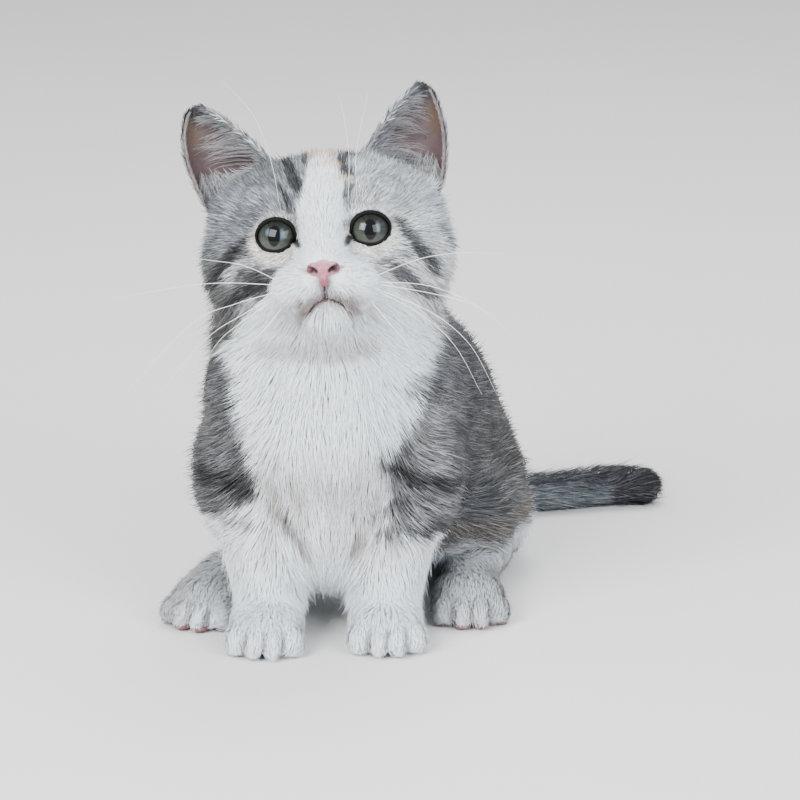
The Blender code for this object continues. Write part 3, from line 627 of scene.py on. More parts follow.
def white_share(points, at_head, rough, rough_head, parts):
    """How white the coat is: bib, feet and underside on the body, blaze and muzzle on the head."""
    x, y, z = points.T
    _, head_y, head_z = at_head.T
    body = between(rough[:, 0], z, BIB, 1.4) * smooth(y, 4, -8)
    low_front = smooth(z + 5 * smooth(x, 27, 35), 33, 28) * smooth(y, 8, 0)
    body = np.maximum(body, low_front * parts["foreleg"])
    body = np.maximum(body, parts["paw"])
    thigh_low = smooth(z + 2 * wavy(points, 9, 21), 20, 12)
    body = np.maximum(body, thigh_low * (1 - parts["tail"]) * 0.85)
    face = between(rough_head[:, 0], head_z, BLAZE, 0.9)
    face = face * smooth(head_y, np.where(head_z > 0, -3, 16), np.where(head_z > 0, -12, 4))
    return body * (1 - parts["head"]) + face * parts["head"]


def dark_share(points, rough, ball, parts):
    """How far the stripes and the tail's top and tip darken the coat."""
    tail, on_head = parts["tail"], parts["head"]
    dark = np.zeros(len(points))
    for line, half, strength in HEAD_STROKES:
        distance = from_line(ball, SKULL * unit(np.array(line, float)))
        dark = np.maximum(dark, strength * smooth(distance, half * 1.45, half * 0.75) * on_head)
    for line, half, strength in BODY_STROKES:
        in_front = max(y for _, y, _ in line) < -9
        scale = np.array(FROM_FRONT if in_front else (1.0, 1.0, 1.0))
        distance = from_line(rough * scale, np.array(line, float) * scale)
        dark = np.maximum(dark, strength * smooth(distance, half * 1.5, half * 0.4) * (1 - on_head))
    x, _, z = points.T
    top = smooth(z, 7, 11.5) * tail
    tip = smooth(x, 97, 104) * tail
    band = smooth(x, 66, 74) * smooth(x, 104, 96) * smooth(z, 11, 6)
    dark = np.maximum(dark, tail * (0.35 + 0.3 * wavy(points, 13, 61)))
    dark = np.maximum(dark, 0.75 * top)
    return np.maximum(dark * (1 - 0.85 * band * tail), tip * 0.95)


def grey_coat(points, at_head, ball, parts):
    """The coat's grey under its white and its stripes."""
    on_head, on_body, tail = parts["head"], 1 - parts["head"], parts["tail"]
    x, y, z = points.T
    head_x, head_y, head_z = at_head.T
    plain = np.ones(points.shape)
    to_left, low = smooth(head_x, -9, 9), smooth(head_z, 4, -7)[:, None]
    head = mixed(plain * HEAD_GREYS[RIGHT], HEAD_GREYS[LEFT], to_left)
    cheek = mixed(plain * CHEEK_GREYS[RIGHT], CHEEK_GREYS[LEFT], to_left)
    head = head * (1 - low) + cheek * low
    head = mixed(head, FLANK_GREY, 0.75 * (smooth(head_y, 4, 28) * smooth(head_z, 26, -8)))
    grey = mixed(plain * FLANK_GREY, BACK_GREY, smooth(y, -14, 24) * on_body)
    grey = mixed(grey, HAUNCH_GREY, 0.75 * smooth(y, 14, 44) * smooth(z, 66, 42))
    shoulder = smooth(x, 19, 25) * smooth(y, -8, -18) * smooth(z, 84, 70)
    grey = mixed(grey, TINTS["shoulder"], 0.65 * shoulder)
    shade = 1 + 0.22 * wavy(points, 7, 31)
    grey = (grey * on_body[:, None] + head * on_head[:, None]) * shade[:, None]
    # Painted shade on the belly between the legs, below the chest.
    under = smooth(z, 44, 26) * smooth(np.abs(x - 2), 26, 14) * smooth(y, -16, -4)
    grey = mixed(grey, TINTS["under"], under * on_body * (1 - parts["foreleg"]))
    low_side = smooth(np.abs(z - 21), 8, 2) * smooth(y, -2, 10) * on_body * (1 - tail)
    grey = mixed(grey, TINTS["low side"], 0.14 * low_side)
    grey = mixed(grey, TINTS["tail"], tail)
    for line, half, strength in PALE_STROKES:
        distance = from_line(ball, SKULL * unit(np.array(line, float)))
        share = strength * smooth(distance, half * 1.3, half * 0.4)
        grey = mixed(grey, TINTS["pale stroke"], share * on_head)
    return grey


def eye_tints(colour, points, white, on_head):
    """The pale ring about each eye, a darker band above it and the dark line of its tear corner."""
    for side in (LEFT, RIGHT):
        local = in_eye(points, side)
        x, y, z = local.T
        ring = np.hypot(x / 9.4, (z + 1.0) / 8.6)
        pale = smooth(ring, 1.22, 0.92) * smooth(y, 0, -4) * on_head
        pale = pale * (0.4 + 0.6 * smooth(z, 2.5, -2))
        colour = mixed(colour, TINTS["eye ring"], 0.8 * pale * (1 - white))
        front = smooth(y, 0, -3) * on_head
        above_band = smooth(eye_ring(local), 1.32, 1.1)
        colour = mixed(colour, TINTS["darker band above"], 0.7 * above_band * smooth(z, -1, 2) * front)
        tear = from_line(local * FLAT, CORNER)
        colour = mixed(colour, TINTS["tear line"], 0.96 * smooth(tear, 1.6, 0.7) * front)
    return colour


def mouth_tints(colour, at_head, on_head):
    """Painted shade about the mouth, along each nostril's wing and under the jaw's front, and the dots of
    the whisker pads.
    """
    x, _, z = at_head.T
    # Painted shade about the mouth and down the philtrum.
    lips = np.minimum(from_front(at_head, MOUTH), from_front(at_head, PHILTRUM) + 0.3)
    colour = mixed(colour, TINTS["lips"], 0.75 * smooth(lips, 3.4, 0.4) * on_head)
    # Painted shade along the line out of each nostril.
    wing = from_line(np.column_stack([np.abs(x), at_head[:, 1:]]), WING)
    colour = mixed(colour, TINTS["wing_shade"], 0.75 * smooth(wing, 1.3, 0.4) * on_head)
    # Painted shade under the chin, broken up by tufts.
    chin = smooth(z, -21.5, -25) * smooth(z, -33, -28) * smooth(np.abs(x), 22, 8)
    tufted = 0.5 + 0.3 * wavy(at_head * (1.0, 1.0, 0.3), 2.4, 72)
    colour = mixed(colour, TINTS["chin"], 1.15 * tufted * chin * on_head)
    for freckle_x, freckle_z in FRECKLES:
        spot = np.hypot(np.abs(x) - freckle_x, z - freckle_z)
        colour = mixed(colour, TINTS["freckles"], 0.5 * smooth(spot, 0.7, 0.2) * on_head)
    return colour


def markings(points, parts):
    """The coat's colour at points, and how grey and ticked it is from 0 to 1. parts says what each is on."""
    on_head, on_body = parts["head"], 1 - parts["head"]
    x, y, z = points.T
    at_head = in_head(points)
    rough = points + 0.9 * np.stack([wavy(points, 5, s) for s in (1, 2, 3)], 1)
    rough_head = at_head + 0.8 * np.stack([wavy(points, 4, s) for s in (4, 5, 6)], 1)
    ball = SKULL * unit(rough_head)
    white = white_share(points, at_head, rough, rough_head, parts)
    dark = dark_share(points, rough, ball, parts)
    colour = mixed(mixed(grey_coat(points, at_head, ball, parts), WHITE, white), DARK, dark)
    low_bib = smooth(z, 70, 52) * on_body * white * (1 - dark)
    streaks = 0.45 + 0.35 * wavy(points * (1.0, 1.0, 0.16), 4.0, 71)
    colour = mixed(colour, TINTS["low bib"], streaks * low_bib * (1 - parts["paw"]) * smooth(z, 20, 32))
    # Painted shade in the gaps between the breast's point and the forelegs.
    for line in BREAST_GAPS:
        distance = from_line(rough * FROM_FRONT, np.array(line) * FROM_FRONT)
        share = 0.7 * smooth(distance, 3.0, 0.6) * on_body * smooth(y, -8, -16)
        colour = mixed(colour, TINTS["breast gap shade"], share)
    # Painted shadow of the jaw's edge on the white coat along its line.
    colour = mixed(colour, TINTS["jaw"], 0.65 * smooth(from_line(at_head, JAW), 6.0, 0.8) * white)
    for at, radius, strength in CREAM_SPOTS:
        distance = np.linalg.norm(rough_head - np.array(at), axis=1)
        colour = mixed(colour, CREAM, strength * smooth(distance, radius * 1.6, radius * 0.3) * on_head)
    colour = eye_tints(colour, points, white, on_head)
    colour = mouth_tints(colour, at_head, on_head)
    # Painted shade in the creases between the toes.
    colour = mixed(colour, TINTS["toe gap shade"], 0.75 * toe_gaps(points))
    # Painted shade on the hind feet.
    shaded_hind_foot = smooth(y, -26, -18) * smooth(np.abs(x - 3), 24, 31) * parts["paw"]
    colour = mixed(colour, TINTS["hind feet"], 0.72 * shaded_hind_foot)
    return colour, np.clip(np.maximum(1 - white, dark), 0, 1)


# Fields over a surface

# For each CAD node: the coat's depth there, a tuft's length and width, and tufts per square millimetre.
COAT = {
    "head": (2.2, 5.4, 0.30, 3.1),
    "muzzle": (1.3, 5.2, 0.27, 5.0),
    "lower_jaw": (1.6, 5.8, 0.30, 3.8),
    "neck": (3.7, 11.5, 0.37, 2.35),
    "chest": (3.7, 11.5, 0.37, 2.35),
    "hindquarters": (3.9, 11.0, 0.42, 1.3),
    "thigh_left": (3.9, 10.5, 0.38, 1.8),
    "thigh_right": (3.9, 10.5, 0.44, 1.1),
    "foreleg_left": (2.2, 7.4, 0.32, 3.2),
    "foreleg_right": (2.2, 7.4, 0.32, 3.2),
    "forepaw_left": (1.2, 3.9, 0.31, 2.55),
    "forepaw_right": (1.2, 3.9, 0.31, 2.55),
    "hind_foot_left": (1.4, 4.4, 0.33, 2.1),
    "hind_foot_right": (1.4, 4.4, 0.33, 2.1),
    "tail_base": (3.4, 9.5, 0.38, 2.4),
    "tail_tip": (3.4, 9.5, 0.38, 2.4),
}
COAT_BY_EYE = (0.35, 2.2, 0.28, 4.5)  # the same four beside an eye's opening
FLESH = tuple(COAT)
PARTS = {
    "head": ("head", "muzzle", "lower_jaw"),
    "foreleg": ("foreleg_left", "foreleg_right"),
    "paw": ("forepaw_left", "forepaw_right", "hind_foot_left", "hind_foot_right"),
    "tail": ("tail_base", "tail_tip"),
}


def tree_of(nodes):
    """A search tree over these CAD nodes, and each triangle's node number."""
    corners, triangles, owner, base = [], [], [], 0
    for number, name in enumerate(nodes):
        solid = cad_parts[name]
        solid.data.calc_loop_triangles()
        corners.append(points_of(solid))
        triangles.append(read(solid.data.loop_triangles, "vertices", 3, np.int32) + base)
        owner.append(np.full(len(triangles[-1]), number))
        base += len(corners[-1])
    tree = BVHTree.FromPolygons(np.concatenate(corners).tolist(), np.concatenate(triangles).tolist())
    return tree, np.concatenate(owner)


def nearest_node(points, nodes):
    tree, owner = tree_of(nodes)
    return np.array([owner[tree.find_nearest(Vector(p))[2]] for p in points])


def spread_out(values, edges, times):
    """Each value drawn towards its neighbours' mean, several times."""
    values = np.asarray(values, float)
    flat = values.reshape(len(values), -1).copy()
    a, b = edges[:, 0], edges[:, 1]
    count = np.bincount(np.concatenate([a, b]), minlength=len(flat))[:, None]
    for _ in range(times):
        total = np.zeros_like(flat)
        for k in range(flat.shape[1]):
            total[:, k] = np.bincount(a, flat[b, k], len(flat)) + np.bincount(b, flat[a, k], len(flat))
        flat = 0.5 * flat + 0.5 * total / np.maximum(count, 1)
    return flat.reshape(values.shape)


def lie_of(points, parts, node):
    """Which way the coat lies at points of the form, before it is laid along the surface."""
    x, y, _ = points.T
    at_head = in_head(points)
    from_nose = at_head - np.array((0.0, -39.0, -13.0))
    from_nose[:, 0] *= 1.15
    cheek = smooth(np.abs(at_head[:, 0]), 16, 34) * smooth(at_head[:, 2], 12, -8)
    from_nose[:, 2] -= 26 * cheek + 70 * smooth(at_head[:, 1], 4, 26)
    from_nose[:, 1] += 10 * cheek
    head_lie = turned_by(HEAD, unit(from_nose))
    for side in (LEFT, RIGHT):
        centre = np.array(eye_frame(side).translation)
        ring = eye_ring(in_eye(points, side))
        head_lie += 1.5 * unit(points - centre) * smooth(ring, 2.2, 1.1)[:, None]
    side, off_middle = np.sign(x - 2), np.abs(x - 1)
    out, back = smooth(off_middle, 10, 34), smooth(y, -6, 24)
    across = 0.75 * side * out * (1 - back) + 0.35 * back
    torso = np.stack([across, 0.9 * out + 1.0 * back, -1 + 0.45 * out + 0.1 * back], 1)
    converge = smooth(points[:, 2], 62, 30) * smooth(off_middle, 26, 2) * (1 - back)
    torso[:, 0] -= 0.35 * side * converge * smooth(off_middle, 1, 6)
    leg = np.stack([0.10 * side, -0.1 + 0 * side, -1 + 0 * side], 1)
    tail = np.stack([np.ones(len(points)), 0.15 + 0 * side, 0 * side], 1)
    paws = np.zeros_like(points)
    for name, foot_side in SIDES:
        outward = math.radians(HIND_FEET[foot_side][3])
        hind = (foot_side * math.sin(outward), -math.cos(outward), -0.35)
        paws[node == FLESH.index(f"hind_foot_{name}")] = hind
        paws[node == FLESH.index(f"forepaw_{name}")] = (foot_side * 0.05, -0.8, -0.55)
    lie = unit(torso)
    for part, other in (("foreleg", leg), ("paw", paws), ("tail", tail), ("head", head_lie)):
        share = parts[part][:, None]
        lie = lie * (1 - share) + unit(other) * share
    return lie


def unwrap(obj):
    """The map OFBake: an unwrap of the surface's own shape."""
    obj.data.uv_layers.new(name="OFBake")
    bpy.context.view_layer.objects.active = obj
    bpy.ops.object.mode_set(mode="EDIT")
    bpy.ops.mesh.select_all(action="SELECT")
    bpy.ops.uv.smart_project(angle_limit=math.radians(66), island_margin=0.002)
    bpy.ops.object.mode_set(mode="OBJECT")


class Ground:
    """A surface that tufts grow on, with its fields at the vertices."""

    def __init__(self, obj, **fields):
        mesh = obj.data
        mesh.calc_loop_triangles()
        self.points = points_of(obj)
        self.normals = normals_of(obj)
        self.triangles = read(mesh.loop_triangles, "vertices", 3, np.int32)
        uvs = read(mesh.uv_layers["OFBake"].data, "uv", 2)
        self.uvs = uvs[read(mesh.loop_triangles, "loops", 3, np.int32)]
        self.tree = BVHTree.FromPolygons(self.points.tolist(), self.triangles.tolist())
        self.fields = fields

    def roots(self, density):
        """Random places over the surface, with so many to a square millimetre at each vertex."""
        a, b, c = (self.points[self.triangles[:, k]] for k in range(3))
        area = np.linalg.norm(np.cross(b - a, c - a), axis=1) / 2
        expected = area * density[self.triangles].mean(1)
        count = np.floor(expected + RNG.random(len(expected))).astype(int)
        which = np.repeat(np.arange(len(count)), count)
        r, s = RNG.random(len(which)), RNG.random(len(which))
        flip = r + s > 1
        r[flip], s[flip] = 1 - r[flip], 1 - s[flip]
        return which, np.stack([1 - r - s, r, s], 1)

    def at(self, values, which, weights):
        picked = values[self.triangles[which]]
        return np.einsum("nk,nk...->n...", weights, picked)

    def uv_at(self, which, weights):
        return np.einsum("nk,nkj->nj", weights, self.uvs[which])

    def uv_near(self, point):
        """The map's place nearest to a point."""
        return self.uvs[self.tree.find_nearest(Vector(point))[2]].mean(0)


# Tufts

RINGS = 2  # from a coat tuft's root to its tip
BLADE_THICKNESS = 0.3  # of a tuft's width
BLADE_ROUNDNESS = 0.2  # how far the shading turns to a tuft's sides
PATCH = 0.003  # a tuft's patch on the bake map
MOST_TRIANGLES = 190000  # in one piece of coat
SKIN_LOWEST, COAT_LOWEST = 0.25, 0.15  # how near to the floor the skin and the tufts come


def laid(ground, roots, normals, lie, length, height):
    """Paths from roots along the surface, rising to a height above it: points and outward directions."""
    points = np.empty((len(roots), RINGS + 1, 3))
    outs = np.empty_like(points)
    points[:, 0], outs[:, 0] = roots - 0.3 * normals, normals
    for n in range(len(roots)):
        at, along, out = Vector(roots[n]), Vector(lie[n]), Vector(normals[n])
        step = float(length[n]) / RINGS
        for i in range(1, RINGS + 1):
            t = i / RINGS
            at, normal = ground.tree.find_nearest(at + along * step)[:2]
            out = (out * 0.4 + normal * 0.6).normalized()
            rise = float(height[n]) * (1.6 * t - 0.6 * t * t)
            points[n, i] = at + out * rise
            outs[n, i] = out
            along = (along - out * out.dot(along)).normalized()
    return points, outs


def blades(points, outs, width, colours, uvs):
    """Closed tapered blades of three sides: vertices, faces, colours, map places and normals."""
    count, rings = len(points), points.shape[1] - 1
    step = 3 * rings + 1
    t = np.linspace(0, 1, rings + 1)
    profile = 0.6 + 1.15 * t - 1.45 * t * t
    verts, tints, shading = (np.empty((count, step, 3)) for _ in range(3))
    places = np.empty((count, step, 2))
    for i in range(rings):
        forward = points[:, i + 1] - points[:, max(i - 1, 0)]
        across = unit(np.cross(outs[:, i], forward))
        half = (width * profile[i] / 2)[:, None]
        above = unit(np.cross(forward, across))
        for k, (aside, up) in enumerate(((1, 0), (0, 2 * BLADE_THICKNESS), (-1, 0))):
            verts[:, 3 * i + k] = points[:, i] + across * half * aside + above * half * up
            shading[:, 3 * i + k] = unit(outs[:, i] + across * aside * BLADE_ROUNDNESS)
            tints[:, 3 * i + k] = colours[:, i]
            places[:, 3 * i + k] = uvs + (np.array((k / 2, t[i])) - 0.5) * PATCH
    verts[:, -1], tints[:, -1], shading[:, -1] = points[:, -1], colours[:, -1], outs[:, -1]
    places[:, -1] = uvs + np.array((0.0, 0.5)) * PATCH
    last = 3 * rings - 3
    tris = np.array([(2, 1, 0)] + [(last + k, last + (k + 1) % 3, last + 3) for k in range(3)])
    base = (np.arange(count) * step)[:, None, None]
    faces = [(base + sides).reshape(-1, sides.shape[1]) for sides in (tris, grid_faces(rings, 3))]
    verts, tints, places, shading = (a.reshape(-1, a.shape[-1]) for a in (verts, tints, places, shading))
    return verts, faces, tints, places, shading


def clumped(points, roots, spacing, pull):
    """Draws tips towards the tip of the nearest of a few leading tufts."""
    leaders = RNG.choice(len(roots), max(2, int(len(roots) / spacing)), replace=False)
    tree = KDTree(len(leaders))
    for k, n in enumerate(leaders):
        tree.insert(Vector(roots[n]), k)
    tree.balance()
    chosen = leaders[[tree.find(Vector(r))[1] for r in roots]]
    shift = points[chosen] - points
    t = np.linspace(0, 1, points.shape[1])[None, :, None]
    return points + shift * (pull[:, None, None] * t**1.4)


def tuft_colours(base, ticked, seen):
    """Each tuft's colours from root to tip: grey ones are ticked, with pale middles and dark tips."""
    count = len(base)
    clump = wavy(seen, 2.6, 51) * 0.5 + wavy(seen, 6.0, 52) * 0.35
    change = np.exp(RNG.normal(size=count) * (0.05 + 0.30 * ticked) + 0.30 * ticked * clump)
    light = (RNG.random(count) < 0.30 * ticked) * RNG.uniform(0.3, 0.95, count)
    paler = np.minimum(base * 3.0 + 0.05, 0.68)
    colour = base * change[:, None] * (1 - light[:, None]) + paler * light[:, None]
    t = np.linspace(0, 1, RINGS + 1)
    along = (0.90 + 0.14 * t)[None, :] * (1 - ticked)[:, None]
    along = along + ticked[:, None] * (0.80 + 0.85 * t - 1.0 * t * t)[None, :]
    return np.clip(colour[:, None] * along[:, :, None], 0.004, 0.97)


def coat_pieces(name, made, slot, material):
    """One tuft set as pieces under the triangle limit."""
    verts, faces, tints, places, shading = made
    tufts = len(faces[0]) // 4
    step = len(verts) // tufts
    triangles = 4 + 2 * len(faces[1]) // tufts
    most = MOST_TRIANGLES // triangles
    for number, first in enumerate(range(0, tufts, most)):
        last = min(first + most, tufts)
        some = [f[first * len(f) // tufts : last * len(f) // tufts] - first * step for f in faces]
        part = slice(first * step, last * step)
        piece = mesh_of(f"{name}_{number + 1}", verts[part], some, tints[part], places[part], shading[part])
        dress(piece, material, slot)


# Materials


class Shader:
    """A node material round one Principled shader."""

    def __init__(self, name, **constants):
        self.material = bpy.data.materials.new(name)
        self.material.use_nodes = True
        self.nodes, self.links = self.material.node_tree.nodes, self.material.node_tree.links
        self.inputs = self.nodes["Principled BSDF"].inputs
        for key, value in constants.items():
            self.inputs[key.replace("_", " ")].default_value = value
        self.where = self.node("TexCoord", "Object", {})

    def put(self, socket, value):
        if isinstance(value, bpy.types.NodeSocket):
            self.links.new(value, socket)
        else:
            socket.default_value = value

    def node(self, kind, output, inputs, **settings):
        """An output of a new node with these settings and inputs."""
        made = self.nodes.new("ShaderNode" + kind)
        for key, value in settings.items():
            setattr(made, key, value)
        for key, value in inputs.items():
            self.put(made.inputs[key], value)
        return made.outputs[output]

    def tint(self):
        return self.node("Attribute", "Color", {}, attribute_name="tint")

    def noise(self, scale, low, high, detail=3.0):
        """Noise from low to high."""
        grain = {"Scale": scale, "Detail": detail, "Roughness": 0.6, "Vector": self.where}
        grain = self.node("TexNoise", "Fac", grain)
        return self.node("MapRange", "Result", {"Value": grain, 1: 0.3, 2: 0.7, 3: low, 4: high})

    def tinted(self, scale, low, high, detail=3.0):
        """The mesh's own tint, scaled by noise."""
        factor = self.noise(scale, low, high, detail)
        scaled = self.node("VectorMath", "Vector", {0: self.tint(), "Scale": factor}, operation="SCALE")
        self.put(self.inputs["Base Color"], scaled)
        return self

    def mottled(self, scale, first, second):
        """From one colour to another by noise."""
        mix = {"Factor": self.noise(scale, 0, 1), 6: (*first, 1), 7: (*second, 1)}
        self.put(self.inputs["Base Color"], self.node("Mix", 2, mix, data_type="RGBA"))
        return self

    def rough(self, scale, low, high):
        self.put(self.inputs["Roughness"], self.noise(scale, low, high))
        return self

    def bump(self, scale, distance, cells=False):
        """Fine relief from noise, or from cells."""
        if cells:
            height = self.node("TexVoronoi", "Distance", {"Scale": scale, "Vector": self.where})
        else:
            grain = {"Scale": scale, "Detail": 3.0, "Roughness": 0.6, "Vector": self.where}
            height = self.node("TexNoise", "Fac", grain)
        relief = self.node("Bump", "Normal", {"Height": height, "Distance": distance, "Strength": 1.0})
        self.put(self.inputs["Normal"], relief)
        return self


def coat_material():
    shader = Shader("coat", Specular_IOR_Level=0.25)
    return shader.tinted(700.0, 0.92, 1.08).rough(260.0, 0.55, 0.75).material


def skin_material():
    shader = Shader("skin", Specular_IOR_Level=0.1)
    return shader.tinted(900.0, 0.75, 1.05).rough(300.0, 0.8, 0.95).bump(1400.0, 0.0004).material


def ear_material():
    shader = Shader("ear_skin", Specular_IOR_Level=0.3, Subsurface_Weight=0.12, Subsurface_Scale=0.002)
    return shader.tinted(420.0, 0.88, 1.08).rough(500.0, 0.5, 0.7).bump(1100.0, 0.0002).material


def nose_material():
    shader = Shader("nose", Specular_IOR_Level=0.5, Subsurface_Weight=0.15, Subsurface_Scale=0.002)
    return shader.tinted(650.0, 0.85, 1.12).rough(900.0, 0.32, 0.5).bump(1900.0, 0.0001, cells=True).material


def eye_material():
    wet = {"Coat_Weight": 0.75, "Coat_Roughness": 0.02, "Coat_IOR": 1.36}
    shader = Shader("eye", Roughness=0.6, Specular_IOR_Level=0.0, **wet)
    return shader.tinted(2600.0, 0.9, 1.1, detail=4.0).material


def lid_material():
    shader = Shader("lid_skin", Specular_IOR_Level=0.08)
    return shader.tinted(1500.0, 0.7, 1.2).rough(800.0, 0.45, 0.6).bump(2500.0, 0.0001).material


def whisker_material():
    shader = Shader("whisker", Specular_IOR_Level=0.5)
    return shader.mottled(150.0, (0.85, 0.83, 0.78), (0.95, 0.94, 0.92)).rough(400.0, 0.3, 0.42).material


def pad_material():
    shader = Shader("toe_pads", Specular_IOR_Level=0.35, Subsurface_Weight=0.1, Subsurface_Scale=0.002)
    shader.mottled(500.0, (0.17, 0.085, 0.082), (0.25, 0.13, 0.125))
    return shader.rough(800.0, 0.5, 0.7).bump(1600.0, 0.0003).material


def floor_material():
    shader = Shader("floor", Specular_IOR_Level=0.2)
    return shader.mottled(3.0, (0.74, 0.73, 0.715), (0.77, 0.76, 0.745)).rough(40.0, 0.7, 0.8).material


# The skin


def skin_fields(form):
    """Each vertex's node and what part it is on, softened, with the coat's sizes there."""
    points = points_of(form)
    edges = read(form.data.edges, "vertices", 2, np.int32)
    node = nearest_node(points, FLESH)
    parts = {}
    for part, names in PARTS.items():
        numbers = [FLESH.index(name) for name in names]
        parts[part] = spread_out(np.isin(node, numbers).astype(float), edges, 4)
    sizes = spread_out(np.array([(*COAT[name], 0.0, FLYAWAY) for name in FLESH])[node], edges, 25)
    depth, length, width, density, rise, loose = sizes.T
    on_head = parts["head"]
    at_head = in_head(points)
    x, y, z = at_head.T
    cheek = smooth(np.abs(x), 22, 34) * smooth(z, 8, -6) * on_head
    behind = smooth(y, -6, 14) * on_head
    frontal = smooth(y, -16, -26) * on_head
    jaw = smooth(z, -17, -25) * smooth(y, 8, -4) * on_head
    depth += 2.0 * cheek + 1.4 * behind - 0.8 * frontal + 1.8 * jaw
    length += 3.0 * cheek + 3.0 * behind - 1.6 * frontal + 5.0 * jaw
    width += 0.04 * cheek + 0.10 * behind - 0.04 * frontal
    density += 0.9 * frontal - 0.5 * cheek - 1.5 * behind
    temple = smooth(np.abs(x), 26, 33) * on_head * smooth(np.abs(z - 10), 15, 6) * smooth(np.abs(y), 18, 8)
    crown = smooth(z, 21, 28) * smooth(np.abs(y + 4), 20, 10) * on_head
    rise += 2.0 * temple + 0.9 * crown + 0.5 * cheek
    loose += 0.15 * temple + 0.25 * crown + 0.12 * cheek
    length += 2.6 * (smooth(z, -10, -15) * smooth(np.abs(x), 6, 12) * frontal)
    normals, height = normals_of(form), points[:, 2]
    density *= 1 - 0.8 * smooth(normals[:, 2], -0.5, -0.85) * smooth(height, 12, 4)
    floor_near = smooth(height, 5, 0.5)
    depth[:] = depth * (1 - floor_near) + 0.5 * floor_near
    for side in (LEFT, RIGHT):
        local = in_eye(points, side)
        ring = eye_ring(local)
        near = smooth(ring, 2.1, 1.15) * smooth(local[:, 1], 1, -3)
        for column, by_eye in zip((depth, length, width, density), COAT_BY_EYE):
            column[:] = column * (1 - near) + by_eye * near
        tear = from_line(local * FLAT, CORNER)
        density[((ring < 1.12) | (tear < 1.0)) & (local[:, 1] < 0)] = 0.0
    mouth = np.minimum(from_front(at_head, MOUTH), from_front(at_head, PHILTRUM))
    density *= smooth(mouth, 0.55, 1.15)
    line = np.array(MOUTH)[:, [0, 2]]
    over = smooth(z - np.interp(x, *line.T), -0.6, 0.4) * frontal
    length[:] = length * (1 - over) + np.minimum(length, 0.8 * mouth + 0.3) * over
    density *= (1 + 0.5 * over * smooth(mouth, 6, 2)) * (1 - 0.9 * toe_gaps(points))
    length += 2.6 * (smooth(height, 9, 17) * parts["paw"])
    nose = np.linalg.norm((at_head - np.array(NOSE_AT)) / (6.0, 6.0, 4.6), axis=1)
    density *= smooth(nose, 0.95, 1.05)
    return points, edges, node, parts, sizes


def sunk_skin(form, points, edges, sizes):
    """Moves the form in by the coat's depth, opens the eyes and creases the mouth."""
    normals = normals_of(form)
    inner = points - normals * sizes[:, :1]
    inner = spread_out(inner, edges, 2)
    at_head = in_head(points)
    face = smooth(at_head[:, 1], -8, -16) * smooth(at_head[:, 2], 4, -4)
    inner += (spread_out(inner, edges, 14) - inner) * (0.7 * face)[:, None]
    at_head = in_head(inner)
    crease = np.minimum(from_front(at_head, MOUTH), from_front(at_head, PHILTRUM) + 0.3)
    deep = 1.1 * smooth(crease, 1.9, 0.0) + 1.5 * toe_gaps(inner)
    deep += 2.0 * smooth(from_line(at_head, JAW), 6.5, 1.0)
    for line in BREAST_GAPS:
        deep += 2.2 * smooth(from_line(inner, line), 4.5, 0.5)
    inner -= normals * deep[:, None]
    for side in (LEFT, RIGHT):
        moved, places = about_eye(inner, side)
        inner[moved] = places[moved]
    inner[:, 2] = np.maximum(inner[:, 2], SKIN_LOWEST)
    set_points(form, inner)


def about_eye(points, side):
    """Which points lie about an eye, and their new places: on the lids, or behind the eyeball's front."""
    local = in_eye(points, side)
    around = np.hypot(local[:, 0], local[:, 2])
    ring = eye_ring(local)
    edge = around / np.maximum(ring, 0.05)
    beyond = np.maximum(around - edge, 0)
    highest = 0.2 - np.sqrt(LID_RADIUS**2 - edge**2) - 0.35 * beyond - 1.3 * np.maximum(beyond - 1.5, 0)
    lowest = np.where(beyond < 2.5, 0.2 - np.sqrt(np.maximum(LID_RADIUS**2 - around**2, 0)), 99)
    front = local[:, 1] < 1
    about = front & (ring >= 1.0) & (beyond < 9)
    local[about, 1] = np.clip(local[about, 1], highest[about], lowest[about])
    inside = front & (ring < 1.0)
    local[inside, 1] = -np.sqrt((EYE_RADIUS - 1.6) ** 2 - np.minimum(around[inside], 6.0) ** 2)
    local[:, 0] *= side
    return about | inside, moved_by(eye_frame(side), local)


def make_skin():
    form = whole_form()
    points, edges, node, parts, sizes = skin_fields(form)
    normals = normals_of(form)
    lie = lie_of(points, parts, node)
    lie -= normals * (lie * normals).sum(1)[:, None]
    lie = unit(spread_out(unit(lie), edges, 8))
    colour, ticked = markings(points, parts)
    sunk_skin(form, points, edges, sizes)
    give_colours(form, colour * (0.92 - 0.22 * ticked[:, None]))
    unwrap(form)
    dress(form, skin_material(), "silver_coat", *FLESH)
    return Ground(form, lie=lie, sizes=sizes, **parts), node


# The coat's sets: nodes, slot, tufts to a bunch, the pull to its middle, and contrast.
SETS = {
    "coat_face": (PARTS["head"], "silver_coat", 6, 0.35, 0.9),
    "coat_bib": (("neck", "chest"), "white_coat", 14, 0.38, 1.0),
    "coat_back": (("hindquarters", "thigh_left", "thigh_right"), "silver_coat", 10, 0.5, 1.0),
    "coat_legs": (PARTS["foreleg"], "white_coat", 10, 0.5, 1.0),
    "coat_feet": (PARTS["paw"], "white_coat", 7, 0.4, 0.8),
    "coat_tail": (PARTS["tail"], "dark_coat", 8, 0.5, 0.9),
}
FLYAWAY = 0.13  # the share of tufts that stand out of the coat


